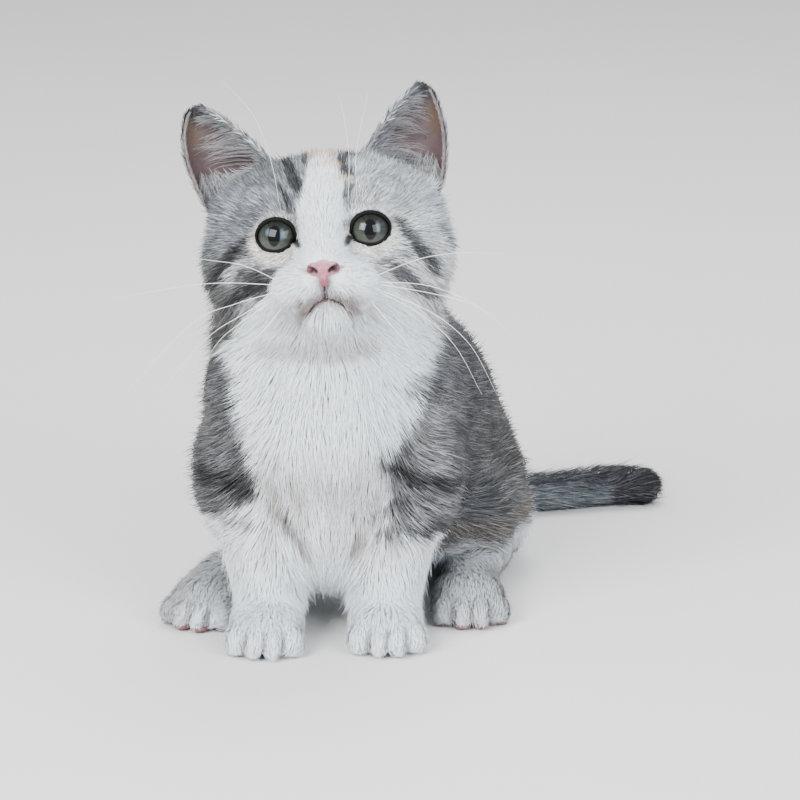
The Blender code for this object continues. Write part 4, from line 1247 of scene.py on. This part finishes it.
def grow_coat(ground, node):
    material = coat_material()
    fields = ground.fields
    for name, (nodes, slot, bunch, pull, contrast) in SETS.items():
        numbers = [FLESH.index(n) for n in nodes]
        density = fields["sizes"][:, 3] * np.isin(node, numbers)
        which, weights = ground.roots(density)
        roots = ground.at(ground.points, which, weights)
        normals = unit(ground.at(ground.normals, which, weights))
        lie = unit(ground.at(fields["lie"], which, weights))
        depth, length, width, _, rise, loose = ground.at(fields["sizes"], which, weights).T
        parts = {part: ground.at(fields[part], which, weights) for part in PARTS}
        count = len(roots)
        jitter = RNG.normal(size=(count, 3)) * 0.13
        swirl = np.stack([wavy(roots, 11, s) for s in (41, 42, 43)], 1) * 0.14
        lie = lie + jitter + swirl
        lie = unit(lie - normals * (lie * normals).sum(1)[:, None])
        length = length * RNG.uniform(0.75, 1.15, count)
        height = depth * RNG.uniform(0.75, 1.12, count) + 0.06 * length + rise * RNG.uniform(0.2, 1.3, count)
        stray = RNG.random(count) < loose
        height = np.where(stray, height + 0.19 * length * RNG.uniform(0.2, 1.8, count), height)
        length = np.where(stray, length * 1.15, length)
        width = np.where(stray, width * 0.6, width) * RNG.uniform(0.8, 1.2, count)
        along = np.sqrt(np.maximum(length**2 - height**2, (0.5 * length) ** 2))
        points, outs = laid(ground, roots, normals, lie, along, height)
        points = clumped(points, roots, bunch, RNG.uniform(0, pull, count))
        points[:, :, 2] = np.maximum(points[:, :, 2], COAT_LOWEST)
        seen = points[:, -1] * 0.85 + points[:, 0] * 0.15
        colour, ticked = markings(seen, parts)
        tints = tuft_colours(colour, ticked * contrast, seen)
        coat_pieces(name, blades(points, outs, width, tints, ground.uv_at(which, weights)), slot, material)


# Eyes

PUPIL = (1.85, 3.2)  # half width and half height
GAZE = {LEFT: 0.5, RIGHT: -1.7}  # how far the pupil stands to the viewer's right of the eye's middle
GAZE_UP = 0.6
# Painted reflections of the sky's pale blue in the eye, at both sides of the pupil: place, half sizes,
# colour and strength.
PAINTED_GLINTS = (
    ((-2.0, 1.0), (1.0, 1.3), (0.10, 0.16, 0.22), 0.75),
    ((2.3, 0.5), (1.0, 1.9), (0.085, 0.125, 0.16), 0.8),
)
IRIS = 6.1  # its radius
# Tones of the iris by the pupil, midway and at its rim, and the paler one in its lower half.
IRIS_TONES = ((0.016, 0.017, 0.014), (0.026, 0.030, 0.025), (0.010, 0.011, 0.010))
IRIS_LOW = (0.060, 0.068, 0.056)


def closed_faces(rows, columns, turned=False):
    """Faces of rings of points that are closed by two poles, the last two points."""
    ring = np.arange(columns)
    after = (ring + 1) % columns
    poles, last = rows * columns, (rows - 1) * columns
    start = np.stack([np.full(columns, poles), after, ring], 1)
    end = np.stack([np.full(columns, poles + 1), last + ring, last + after], 1)
    quads, tris = grid_faces(rows, columns), np.concatenate([start, end])
    return (quads[:, [0, 3, 2, 1]], tris[:, [0, 2, 1]]) if turned else (quads, tris)


def ball_points():
    """An eyeball with fine rings in front: points, their angles off and about the sight line, and faces."""
    steps = np.concatenate([np.radians(np.linspace(0, 62, 56)), np.radians(np.linspace(70, 180, 12))])
    angles = np.linspace(0, math.tau, 96, endpoint=False)
    theta, phi = (g.ravel() for g in np.meshgrid(steps[1:-1], angles, indexing="ij"))
    theta = np.concatenate([theta, [0.0, math.pi]])
    phi = np.concatenate([phi, [0.0, 0.0]])
    radius = EYE_RADIUS + 0.12 * smooth(theta, math.radians(46), math.radians(12))
    local = np.stack([np.sin(theta) * np.cos(phi), -np.cos(theta), np.sin(theta) * np.sin(phi)], 1)
    return local * radius[:, None], theta, phi, closed_faces(len(steps) - 2, len(angles))


def iris_colours(theta, phi):
    reach = EYE_RADIUS * np.sin(np.minimum(theta, math.pi / 2))
    across, up = reach * np.cos(phi), reach * np.sin(phi)
    draw = np.random.default_rng(SEED)
    fibre = np.zeros(len(theta))
    for waves in (17, 29, 43, 61, 83):
        fibre += np.sin(waves * phi + draw.uniform(0, math.tau) + draw.uniform(-0.9, 0.9) * reach) / 2.2
    pupil = np.hypot(across / PUPIL[0], up / PUPIL[1])
    outward = np.clip((reach - 2.2) / (IRIS - 2.2), 0, 1)
    inner, middle, outer = (np.array(tone) for tone in IRIS_TONES)
    colour = inner + (middle - inner) * smooth(outward, 0, 0.35)[:, None]
    colour = colour + (outer - colour) * smooth(outward, 0.6, 1.0)[:, None]
    colour = colour * (1 + 0.20 * fibre)[:, None]
    lower = smooth(-0.25 * across - up, -0.6, 3.8) * smooth(outward, 1.0, 0.6)
    colour = mixed(colour, IRIS_LOW, 0.75 * lower)
    # Painted shade of the upper lid darkens the iris's upper part.
    colour = colour * (1 - 0.7 * smooth(up, 1.2, 4.4))[:, None]
    # Painted reflections at both sides of the pupil.
    for (x, z), (wide, high), tone, strength in PAINTED_GLINTS:
        painted_glint = np.hypot((across - x) / wide, (up - z) / high)
        colour = mixed(colour, tone, strength * smooth(painted_glint, 1.25, 0.3))
    colour = mixed(colour, (0.004, 0.004, 0.004), smooth(reach, IRIS - 1.7, IRIS - 0.4))
    colour = mixed(colour, (0.003, 0.003, 0.004), smooth(pupil, 1.15, 0.92))
    return np.clip(colour, 0.003, 1)


def gaze(side):
    """The eye's frame turned so that its sight line meets the camera's place in the photo's pose."""
    at = eye_frame(side).translation
    towards = (Vector(CAMERA_AT) - at).normalized() * EYE_RADIUS + Vector((GAZE[side], 0, GAZE_UP))
    spin = (-towards).to_track_quat("Y", "Z").to_matrix().to_4x4()
    return Matrix.Translation(at) @ spin


def make_eyes():
    ball, rim = eye_material(), lid_material()
    local, theta, phi, faces = ball_points()
    for name, side in SIDES:
        eye = mesh_of(f"eyeball_{name}", moved_by(gaze(side), local), faces, iris_colours(theta, phi))
        dress(eye, ball, "eye", f"eye_{name}")
        lid_rim(name, side, rim)


def near_angle(phi, degrees, spread):
    """1 at an angle, falling off to both sides of it."""
    return np.exp(-(((phi - math.radians(degrees) + math.pi) % math.tau - math.pi) / spread) ** 2)


def lid_rim(name, side, material):
    """The dark edge of the lids, drawn out to the tear corner beside the nose."""
    steps, sections = 96, 10
    phi = np.linspace(0, math.tau, steps, endpoint=False)
    corner, outer = near_angle(phi, 207, 0.27), near_angle(phi, 8, 0.5)
    x = np.cos(phi) * (EYE_OPENING[0] + 2.1 * corner + 0.3 * outer)
    z = np.sin(phi) * (EYE_OPENING[1] - 0.1) - 1.6 * corner
    thick = 0.44 + 0.30 * smooth(np.sin(phi), -0.2, 0.8) + 0.30 * corner
    reach = LID_RADIUS + 0.20 * corner
    middle = np.stack([x, -np.sqrt(np.maximum(reach**2 - x**2 - z**2, 0.2)), z], 1)
    forward = unit(np.roll(middle, -1, 0) - np.roll(middle, 1, 0))
    out = unit(middle)
    across = unit(np.cross(forward, out))
    rings = []
    for k in range(sections):
        a = math.tau * k / sections
        aside, up = (math.cos(a) * thick)[:, None], (math.sin(a) * 0.62 * thick)[:, None]
        rings.append(middle + across * aside + out * up)
    points = np.stack(rings, 1).reshape(-1, 3)
    points[:, 0] *= side
    faces = grid_faces(steps, sections, rows_meet=True)
    if side == LEFT:
        faces = faces[:, ::-1]
    tint = np.repeat(mixed(np.full((steps, 3), 0.005), (0.014, 0.009, 0.009), corner * 0.6), sections, 0)
    rim = mesh_of(f"lid_rim_{name}", moved_by(eye_frame(side), points), [faces], tint)
    dress(rim, material, "eye")


# Nose and mouth

MOUTH_TINT = (0.058, 0.034, 0.036)
MOUTH_LIFT = 1.15  # how far its line lies out of the skin
# The nose leather's tints: the lighter top one is painted light and the darker low one painted shade.
NOSE_TINTS = {
    "leather": (0.40, 0.155, 0.20),
    "top": (0.50, 0.27, 0.31),
    "low": (0.26, 0.075, 0.10),
    "nostrils": (0.010, 0.004, 0.004),
    "sides": (0.24, 0.085, 0.10),
}


def make_nose():
    clay = Clay(HEAD @ Matrix.Translation(NOSE_AT))
    clay.add((0, 0, 0.6), (3.4, 4.0, 2.9))
    clay.pair((2.9, 0.6, 0.9), (2.3, 3.4, 2.1))
    clay.add((0, 0.2, -2.6), (1.5, 3.0, 2.6))
    clay.add((0, 1.5, 2.4), (2.6, 2.8, 1.6))
    nose = clay.fused("nose_leather", voxel=0.25, softness=6)
    points = points_of(nose)
    local = in_head(points) - np.array(NOSE_AT)
    off_middle, height = np.abs(local[:, 0]), local[:, 2]
    distance = from_line(np.column_stack([off_middle, local[:, 1:]]), NOSTRIL)
    cleft = smooth(off_middle, 0.7, 0.0) * smooth(height, 0.5, -1.5)
    points -= normals_of(nose) * (1.9 * smooth(distance, 1.45, 0.3) + 0.45 * cleft)[:, None]
    set_points(nose, points)
    colour = np.full((len(points), 3), NOSE_TINTS["leather"])
    # Painted light on the nose's top and painted shade on its underside.
    colour = mixed(colour, NOSE_TINTS["top"], smooth(height, 0.8, 2.4) * 0.7)
    colour = mixed(colour, NOSE_TINTS["low"], smooth(height, -1.2, -3.8))
    # Painted shade in the nostrils' hollows.
    colour = mixed(colour, NOSE_TINTS["nostrils"], smooth(distance, 1.7, 1.05))
    colour = mixed(colour, NOSE_TINTS["sides"], 0.5 * smooth(off_middle, 3.6, 5.0))
    give_colours(nose, colour)
    dress(nose, nose_material(), "nose_skin", "nose")


def tube(path, radii, sides=8):
    """Points and faces of a round tube along a path."""
    path, radii = np.asarray(path, float), np.asarray(radii, float)
    forward = unit(np.gradient(path, axis=0))
    across = unit(np.cross(forward, np.array((0.13, 0.21, 0.97))))
    up = np.cross(across, forward)
    angles = np.linspace(0, math.tau, sides, endpoint=False)[None, :, None]
    ring = across[:, None] * np.cos(angles) + up[:, None] * np.sin(angles)
    rings = path[:, None] + radii[:, None, None] * ring
    points = np.concatenate([rings.reshape(-1, 3), path[:1], path[-1:]])
    return points, closed_faces(len(path), sides, turned=True)


def curve_through(points, steps):
    """A smooth path through points."""
    p = np.asarray(points, float)
    p = np.concatenate([[2 * p[0] - p[1]], p, [2 * p[-1] - p[-2]]])
    found = []
    for i in range(1, len(p) - 2):
        a, b, c, d = p[i - 1 : i + 3]
        square, cube = 2 * a - 5 * b + 4 * c - d, 3 * b - a - 3 * c + d
        for t in np.linspace(0, 1, steps, endpoint=False):
            found.append(0.5 * (2 * b + (c - a) * t + square * t**2 + cube * t**3))
    return np.array([*found, p[-2]])


def tubes(name, paths, material, slot, tint=None):
    """Several tubes as one piece; paths are pairs of points and radii."""
    points, quads, tris, base = [], [], [], 0
    for path, radii in paths:
        more, (sides, ends) = tube(path, radii)
        points.append(more)
        quads.append(sides + base)
        tris.append(ends + base)
        base += len(more)
    colours = None if tint is None else np.full((base, 3), tint)
    piece = mesh_of(name, np.concatenate(points), [np.concatenate(quads), np.concatenate(tris)], colours)
    dress(piece, material, slot)


def onto_skin(point, ground, sink):
    """A point moved to the skin, and then in by sink."""
    at, normal = ground.tree.find_nearest(Vector(point))[:2]
    return at - normal * sink


def on_face(path, ground, lift):
    """A path in the head's axes laid on the skin as it shows from in front, and out by lift."""
    ahead = Vector(turned_by(HEAD, (0.0, 1.0, 0.0)))
    starts = moved_by(HEAD, path * FLAT + (0.0, -60.0, 0.0))
    back = np.array([ground.tree.ray_cast(Vector(start), ahead)[3] for start in starts]) - 60.0
    for _ in range(10):
        back[1:-1] = (back[:-2] + 2 * back[1:-1] + back[2:]) / 4
    return moved_by(HEAD, np.stack([path[:, 0], back - lift, path[:, 2]], 1))


def make_mouth(ground):
    lines = []
    for line, thick in ((MOUTH, 0.38), (PHILTRUM, 0.33)):
        path = on_face(curve_through(line, 8), ground, MOUTH_LIFT)
        t = np.linspace(-1, 1, len(path))
        radii = thick * (1 - 0.75 * t**2) if line is MOUTH else np.full(len(path), thick)
        lines.append((path, radii))
    tubes("mouth_line", lines, lid_material(), "nose_skin", MOUTH_TINT)


# Ears

# Each ear's inner and outer edge in the head's axes, with x as on the left: base, bend and tip.
EAR_EDGES = {
    LEFT: (
        ((11.7, -2, 27.5), (25.2, -0.5, 49.6), (34.5, 3, 53.3)),
        ((37.4, -2, 18.5), (42.4, 0.5, 39.0), (34.5, 3, 53.3)),
    ),
    RIGHT: (
        ((12.5, -2, 25), (30.8, -0.5, 49.0), (41.1, 3, 51.1)),
        ((39.0, -2, 18.5), (48.2, 0.5, 40.6), (41.1, 3, 51.1)),
    ),
}
EAR_DEPTH = 14.0
# Where the tip's round cap begins, and how far it goes towards the place where the edges meet.
EAR_CAP, EAR_CAP_REACH = 0.77, 0.84
EAR_ROWS, EAR_COLUMNS = 60, 34
EAR_THICKNESS = 0.6
EAR_LOCKS, FRINGE_HAIRS = 38, 2300
# The cup's tints; the deep one is painted shade and the orange one painted light shining through the skin.
EAR_TINTS = {
    "skin": (0.092, 0.062, 0.064),
    "deep": (0.06, 0.035, 0.035),
    "light_through": (0.105, 0.070, 0.046),
    "inner edge": (0.09, 0.092, 0.095),
    "tip": (0.03, 0.027, 0.027),
    "outer edge": (0.12, 0.092, 0.092),
}
EAR_GREYS = ((0.15, 0.158, 0.165), (0.46, 0.49, 0.51))
EAR_TIP_GREY = (0.018, 0.017, 0.018)
EAR_HAIRS = {
    "rim": (0.17, 0.145, 0.145),
    "locks": (0.54, 0.55, 0.575),
    "base": (0.24, 0.255, 0.265),
    "brown": (0.05, 0.038, 0.033),
    "pale": (0.50, 0.52, 0.53),
}


def ear_edge(points, t):
    """A point of a curve through base and tip that bends towards the middle point."""
    a, b, c = (np.array(p, float) for p in points)
    return a * (1 - t) ** 2 + b * 2 * t * (1 - t) + c * t * t


def ear_point(side, t, u):
    """A point of the cup in the drawing's axes: t from base to tip, u from inner to outer edge."""
    inner, outer = (ear_edge(edge, min(t, EAR_CAP)) for edge in EAR_EDGES[side])
    middle, half = (inner + outer) / 2, (outer - inner) / 2
    if t > EAR_CAP:
        on = min((t - EAR_CAP) / (1 - EAR_CAP), 1)
        middle = middle + (np.array(EAR_EDGES[side][0][2], float) - middle) * on * EAR_CAP_REACH
        half = half * max(1 - on, 0.0004) ** 0.52
    depth = EAR_DEPTH * max(1 - t, 0.0) ** 0.75
    angle = math.pi * u
    point = middle - half * math.cos(angle) + np.array((0, depth * math.sin(angle), 0))
    point[0] *= side
    return moved_by(HEAD, point[None])[0]


def make_ear(name, side, material):
    """The cup as a thin shell: tinted inside, at the rim and outside."""
    rows = [-0.10 + 1.10 * (i / EAR_ROWS) ** 0.85 for i in range(EAR_ROWS + 1)]
    places = [(t, j / EAR_COLUMNS) for t in rows for j in range(EAR_COLUMNS + 1)]
    faces = grid_faces(EAR_ROWS + 1, EAR_COLUMNS + 1, columns_meet=False)
    if side == RIGHT:
        faces = faces[:, ::-1]
    cup = mesh_of(f"ear_cup_{name}", np.array([ear_point(side, t, u) for t, u in places]), [faces])
    t, u = np.array(places).T
    colour = np.full((len(places), 3), EAR_TINTS["skin"])
    # Painted shade deep in the cup's lower middle.
    colour = mixed(colour, EAR_TINTS["deep"], smooth(t, 0.40, 0.02) * smooth(np.abs(u - 0.5), 0.42, 0.1))
    # Painted light shining through the ear's thin skin.
    light_through = smooth(np.hypot((u - 0.74) / 0.2, (t - 0.62) / 0.2), 1.3, 0.3)
    colour = mixed(colour, EAR_TINTS["light_through"], light_through * 0.7)
    colour = mixed(colour, EAR_TINTS["inner edge"], smooth(u, 0.20, 0.04))
    colour = mixed(colour, EAR_TINTS["tip"], smooth(t, 0.80, 0.95) * 0.9)
    colour = mixed(colour, EAR_TINTS["outer edge"], smooth(u, 0.93, 0.99) * smooth(t, 0.93, 0.85))
    give_colours(cup, colour)
    shell = cup.modifiers.new("thickness", "SOLIDIFY")
    shell.thickness = EAR_THICKNESS * MM
    shell.offset = 0.0
    unwrap(applied(cup))
    dress(cup, material, "ear_skin", f"ear_{name}")
    return cup


def ear_frame_at(side, t, u):
    """A place of the cup, and the ways there to the tip, to the outer edge and out of the cup's back."""
    e = 0.01
    at = ear_point(side, t, u)
    up = unit(ear_point(side, t + e, u) - ear_point(side, t - e, u))
    across = unit(ear_point(side, t, min(u + e, 1)) - ear_point(side, t, max(u - e, 0)))
    back = unit(np.cross(up, across)) * side
    return at, up, across, back


def ear_width(side, t):
    """The ear's width at t as a share of the base's."""
    spans = [np.linalg.norm(ear_point(side, at, 1) - ear_point(side, at, 0)) for at in (t, 0.0)]
    return spans[0] / spans[1]


class EarHair:
    """Hairs of an ear: roots, headings, lengths, widths, colours and how much each bows."""

    def __init__(self, side):
        self.side, self.hairs = side, []
        self.draw = np.random.default_rng(SEED + side)

    def places(self, count, t_range, u_range):
        """Random places of the cup, fewer where it is narrow, with the directions there."""
        for _ in range(count):
            t, u = self.draw.uniform(*t_range), self.draw.uniform(*u_range)
            if self.draw.random() < 0.15 + ear_width(self.side, t):
                yield t, *ear_frame_at(self.side, t, u)

    def add(self, start, heading, out, length, width, colour, bow):
        self.hairs.append((start, unit(heading), unit(out), length, width, np.asarray(colour, float), bow))

    def spread(self, amount):
        return amount * self.draw.normal(size=3)

    def tone(self, colour, low, high):
        return np.array(colour) * self.draw.uniform(low, high)

    def grey(self, t):
        """A ticked grey hair's colour, near black towards the tip."""
        tone = self.tone(EAR_GREYS[int(self.draw.random() < 0.36)], 0.5, 1.5)
        return mixed(tone[None], EAR_TIP_GREY, np.array([0.85 * smooth(t, 0.58, 0.84)]))[0]

    def piece(self, name, slot, ground, material, stations=3):
        start, heading, out, length, width, colour, bow = (np.array(v) for v in zip(*self.hairs))
        t = np.linspace(0, 1, stations)[None, :, None]
        rise = (bow * length)[:, None, None] * (4 * t * (1 - t))
        points = start[:, None] + heading[:, None] * length[:, None, None] * t + out[:, None] * rise
        outs = np.repeat(out[:, None], stations, 1)
        tints = np.clip(colour[:, None] * np.linspace(0.85, 1.08, stations)[None, :, None], 0.004, 0.95)
        uvs = np.array([ground.uv_near(p) for p in start])
        coat_pieces(name, blades(points, outs, width, tints, uvs), slot, material)
        self.hairs = []


def ear_coat(name, side, ground, material):
    """Short fur outside and along the inner edge, a fine outer rim, and long pale hair over the opening."""
    hair = EarHair(side)
    draw = hair.draw
    for t, at, up, across, back in hair.places(3400, (-0.04, 0.97), (0.0, 1.0)):
        heading = up + hair.spread(0.14)
        length = draw.uniform(2.8, 4.6) * (1 - 0.55 * smooth(t, 0.75, 0.95))
        hair.add(at + back * 0.4, heading + 0.12 * back, back, length, 0.36, hair.grey(t), 0.06)
    for t, at, up, across, back in hair.places(700, (-0.06, 0.97), (0.0, 0.02)):
        heading = up - across * draw.uniform(-0.3, 0.35) - back * draw.uniform(-0.3, 0.4) + hair.spread(0.14)
        length = draw.uniform(2.6, 4.4) * (1 - 0.6 * smooth(t, 0.75, 0.95))
        hair.add(at - across * 0.2, heading, -across, length, 0.34, hair.grey(t) * 0.85, 0.05)
    for t, at, up, across, back in hair.places(1700, (-0.06, 0.97), (0.0, 0.17)):
        lean = draw.uniform(0.25, 0.75)
        length = draw.uniform(3.2, 5.4) * (1 - 0.6 * smooth(t, 0.75, 0.95))
        heading = up + across * lean - back * 0.22 + hair.spread(0.14)
        hair.add(at - back * 0.3, heading, -back, length, 0.30, hair.grey(t), 0.05)
    for t, at, up, across, back in hair.places(700, (0.80, 0.985), (0.0, 1.0)):
        heading = up + hair.spread(0.2)
        hair.add(at - back * 0.3, heading, -back, draw.uniform(1.2, 2.2), 0.30, hair.grey(t), 0.05)
    hair.piece(f"ear_outside_{name}", "silver_coat", ground, material)
    for t, at, up, across, back in hair.places(1300, (0.0, 0.92), (0.965, 1.0)):
        tone = hair.tone(EAR_HAIRS["rim"], 0.5, 1.5)
        heading = up + 0.10 * across - 0.2 * back + hair.spread(0.14)
        hair.add(at - 0.1 * back, heading, across, draw.uniform(1.3, 2.2), 0.22, tone, 0.03)
    ear_locks(hair)
    for t, at, up, across, back in hair.places(640, (-0.10, 0.14), (0.04, 0.80)):
        tone = hair.tone(EAR_HAIRS["base"], 0.5, 1.9)
        heading = up + across * draw.uniform(0.1, 0.7) - back * draw.uniform(0.4, 0.9)
        hair.add(at - back * 0.4, heading, -back, draw.uniform(4.0, 7.5), 0.28, tone, 0.10)
    for t, at, up, across, back in hair.places(600, (-0.10, 0.10), (0.66, 1.0)):
        tone = hair.tone(EAR_HAIRS["brown" if draw.random() < 0.22 else "pale"], 0.6, 1.4)
        heading = up - back * 0.5 - across * draw.uniform(-0.3, 0.5)
        hair.add(at - back * 0.3, heading, -back, draw.uniform(3.0, 6.5), 0.30, tone, 0.10)
    hair.piece(f"ear_inside_{name}", "white_coat", ground, material, stations=4)


def ear_locks(hair):
    """Locks of long hairs from the inner edge, each towards one goal across the opening."""
    side, draw = hair.side, hair.draw
    for _ in range(EAR_LOCKS):
        t, u = draw.uniform(-0.04, 0.70), draw.uniform(0.04, 0.20)
        goal = ear_point(side, min(t + draw.uniform(0.02, 0.26), 0.86), draw.uniform(0.62, 0.95))
        share = draw.uniform(0.5, 0.95)
        for _ in range(int(draw.integers(6, 13))):
            root_t = t + 0.016 * draw.normal()
            root_u = float(np.clip(u + 0.03 * draw.normal(), 0.02, 0.3))
            at, up, across, back = ear_frame_at(side, root_t, root_u)
            heading = goal + hair.spread(1.1) - at
            length = np.linalg.norm(heading) * share * draw.uniform(0.8, 1.05)
            tone = hair.tone(EAR_HAIRS["locks"], 0.4, 1.3)
            hair.add(at, heading, up - 0.6 * back, length, 0.20, tone, draw.uniform(0.09, 0.19))


def ear_fringe(name, side, skin, material):
    """The head's own fur that grows up over the ear's base."""
    hair = EarHair(side)
    draw = hair.draw
    (inner, _, _), (outer, _, _) = EAR_EDGES[side]
    count = FRINGE_HAIRS
    share = draw.uniform(0.0, 1.12, count)
    spots = np.outer(1 - share, inner) + np.outer(share, outer)
    spots += np.stack([draw.normal(size=count), -draw.uniform(-2.0, 9.0, count), 2.0 - 3 * share], 1)
    spots[:, 0] *= side
    spots = moved_by(HEAD, spots)
    colours = markings(spots, {part: np.full(count, float(part == "head")) for part in PARTS})[0]
    for at, across, tone in zip(spots, share, colours):
        root, out = skin.tree.find_nearest(Vector(at))[:2]
        goal = ear_point(side, draw.uniform(0.10, 0.4), 0.04 + 0.8 * min(across, 1.0))
        outward = smooth(across, 0.72, 0.95)
        goal = goal + turned_by(HEAD, (side * 4.5 * outward, 1.5 * outward, -3.0 * outward))
        heading = unit(goal - np.array(root)) + hair.spread(0.18)
        length = draw.uniform(4.0, 8.0) * (1 - 0.25 * across + 0.35 * outward)
        pale = draw.random() < 0.4
        tone = np.clip(tone * draw.uniform(0.6, 1.3) * (1.7 if pale else 1.0), 0, 0.8)
        hair.add(np.array(root) - 0.2 * np.array(out), heading, out, length, 0.30, tone, 0.12)
    hair.piece(f"ear_fringe_{name}", "silver_coat", skin, material)


def make_ears(skin):
    inside, hair = ear_material(), coat_material()
    for name, side in SIDES:
        cup = make_ear(name, side, inside)
        ear_coat(name, side, Ground(cup), hair)
        ear_fringe(name, side, skin, hair)


# Whiskers and pads

# Points from root to tip, in the drawing's axes.
WHISKERS = (
    ((-18.0, -51.0, 123.6), (-30.5, -57.0, 125.3), (-44.2, -59.0, 124.5), (-67.9, -52.0, 118.7)),
    ((-17.5, -51.0, 119.4), (-27.4, -57.0, 118.6), (-41.2, -60.0, 112.7), (-64.4, -53.0, 86.3)),
    ((-16.3, -50.0, 117.6), (-25.9, -57.0, 114.8), (-36.7, -59.0, 107.7), (-52.0, -52.0, 88.3)),
    ((-17.0, -48.0, 115.8), (-24.6, -53.0, 112.6), (-31.7, -55.0, 107.3), (-37.5, -52.0, 98.9)),
    ((-17.4, -50.0, 125.9), (-24.3, -55.0, 130.2), (-33.5, -56.0, 132.0), (-41.4, -52.0, 132.0)),
    ((-13.2, -50.0, 114.4), (-17.5, -53.0, 110.7), (-22.4, -54.0, 105.8), (-27.0, -51.0, 98.6)),
    ((18.5, -50.0, 127.4), (29.5, -57.0, 132.9), (42.7, -58.0, 135.0), (56.8, -50.0, 132.8)),
    ((20.3, -50.0, 124.3), (32.6, -57.0, 124.3), (48.0, -58.0, 117.6), (63.8, -50.0, 101.6)),
    ((20.9, -50.0, 118.9), (32.7, -56.0, 115.9), (45.0, -58.0, 105.9), (53.7, -50.0, 87.8)),
    ((19.7, -50.0, 118.2), (29.6, -55.0, 115.0), (40.4, -57.0, 105.3), (49.0, -50.0, 87.8)),
    ((19.1, -50.0, 122.0), (31.1, -57.0, 122.4), (43.4, -58.0, 119.5), (54.4, -52.0, 113.0)),
    ((16.0, -51.0, 115.3), (20.9, -54.0, 110.9), (25.9, -55.0, 104.8), (29.6, -51.0, 95.4)),
)
BROW_WHISKERS = (
    ((-14.1, -33.0, 145.3), (-16.4, -36.0, 158.0), (-21.6, -35.0, 172.6), (-31.9, -30.0, 183.7)),
    ((9.7, -34.0, 147.1), (9.7, -37.0, 159.8), (11.3, -36.0, 170.6), (13.5, -32.0, 180.2)),
    ((8.4, -34.0, 146.5), (7.6, -37.0, 159.8), (6.4, -36.0, 170.6), (4.5, -32.0, 179.3)),
)


def make_whiskers(ground):
    paths = []
    for lines, thick in ((WHISKERS, 0.11), (BROW_WHISKERS, 0.08)):
        for root, *rest in lines:
            path = curve_through([onto_skin(root, ground, 1.0), *rest], 8)
            paths.append((path, thick * (1 - 0.78 * np.linspace(0, 1, len(path)))))
    tubes("whiskers", paths, whisker_material(), "white_coat")


def make_pads():
    """The toes' pads that show under the hind feet."""
    clay = Clay()
    for side in (LEFT, RIGHT):
        clay.frame = paw_frame(*HIND_FEET[side][2:], side)
        for across, back, _ in TOES:
            x = across * (PAW_HALF_WIDTH - TOE_RADIUS)
            clay.add((x, back - HIND_FOOT_LENGTH + 0.5, 1.5), (2.9, 3.4, 1.3))
    pads = object_of("toe_pads", clay.bm)
    pads.data.shade_smooth()
    dress(pads, pad_material(), "nose_skin")


# Studio


def softbox(name, azimuth, elevation, distance, size, power, colour=(1, 1, 1)):
    """A square light that looks at the place where the lights meet, from an angle about it."""
    light = bpy.data.lights.new(name, "AREA")
    light.shape = "SQUARE"
    light.size = size
    light.energy = power
    light.color = colour
    obj = linked(name, light)
    a, e = math.radians(azimuth), math.radians(elevation)
    target = Vector(placed(LIGHTS_MEET))
    back = Vector((math.sin(a) * math.cos(e), -math.cos(a) * math.cos(e), math.sin(e)))
    obj.location = target + back * distance
    obj.rotation_mode = "QUATERNION"
    obj.rotation_quaternion = (-back).to_track_quat("-Z", "Y")


def studio():
    bm = bmesh.new()
    bmesh.ops.create_grid(bm, x_segments=8, y_segments=8, size=4.0)
    floor = object_of("floor", bm)
    floor.data.materials.append(floor_material())
    world = bpy.data.worlds.new("studio")
    world.use_nodes = True
    background = world.node_tree.nodes["Background"]
    background.inputs["Color"].default_value = (0.93, 0.95, 1.0, 1.0)
    background.inputs["Strength"].default_value = 0.9
    bpy.context.scene.world = world
    softbox("key", -34, 32, 1.3, 0.7, 31, (1.0, 0.99, 0.98))
    softbox("fill", 38, 24, 1.4, 0.8, 22, (0.93, 0.96, 1.0))
    softbox("top", 160, 62, 1.2, 0.7, 11)
    camera = bpy.data.cameras.new("camera")
    camera.sensor_width = 36.0
    camera.lens = CAMERA_LENS
    camera.clip_start, camera.clip_end = 0.05, 20.0
    obj = linked("camera", camera)
    obj.location = placed(CAMERA_AT)
    obj.rotation_euler = (math.radians(90 - CAMERA_TILT), 0, 0)
    bpy.context.scene.camera = obj


studio()
skin, skin_node = make_skin()
grow_coat(skin, skin_node)
make_eyes()
make_nose()
make_mouth(skin)
make_ears(skin)
make_whiskers(skin)
make_pads()
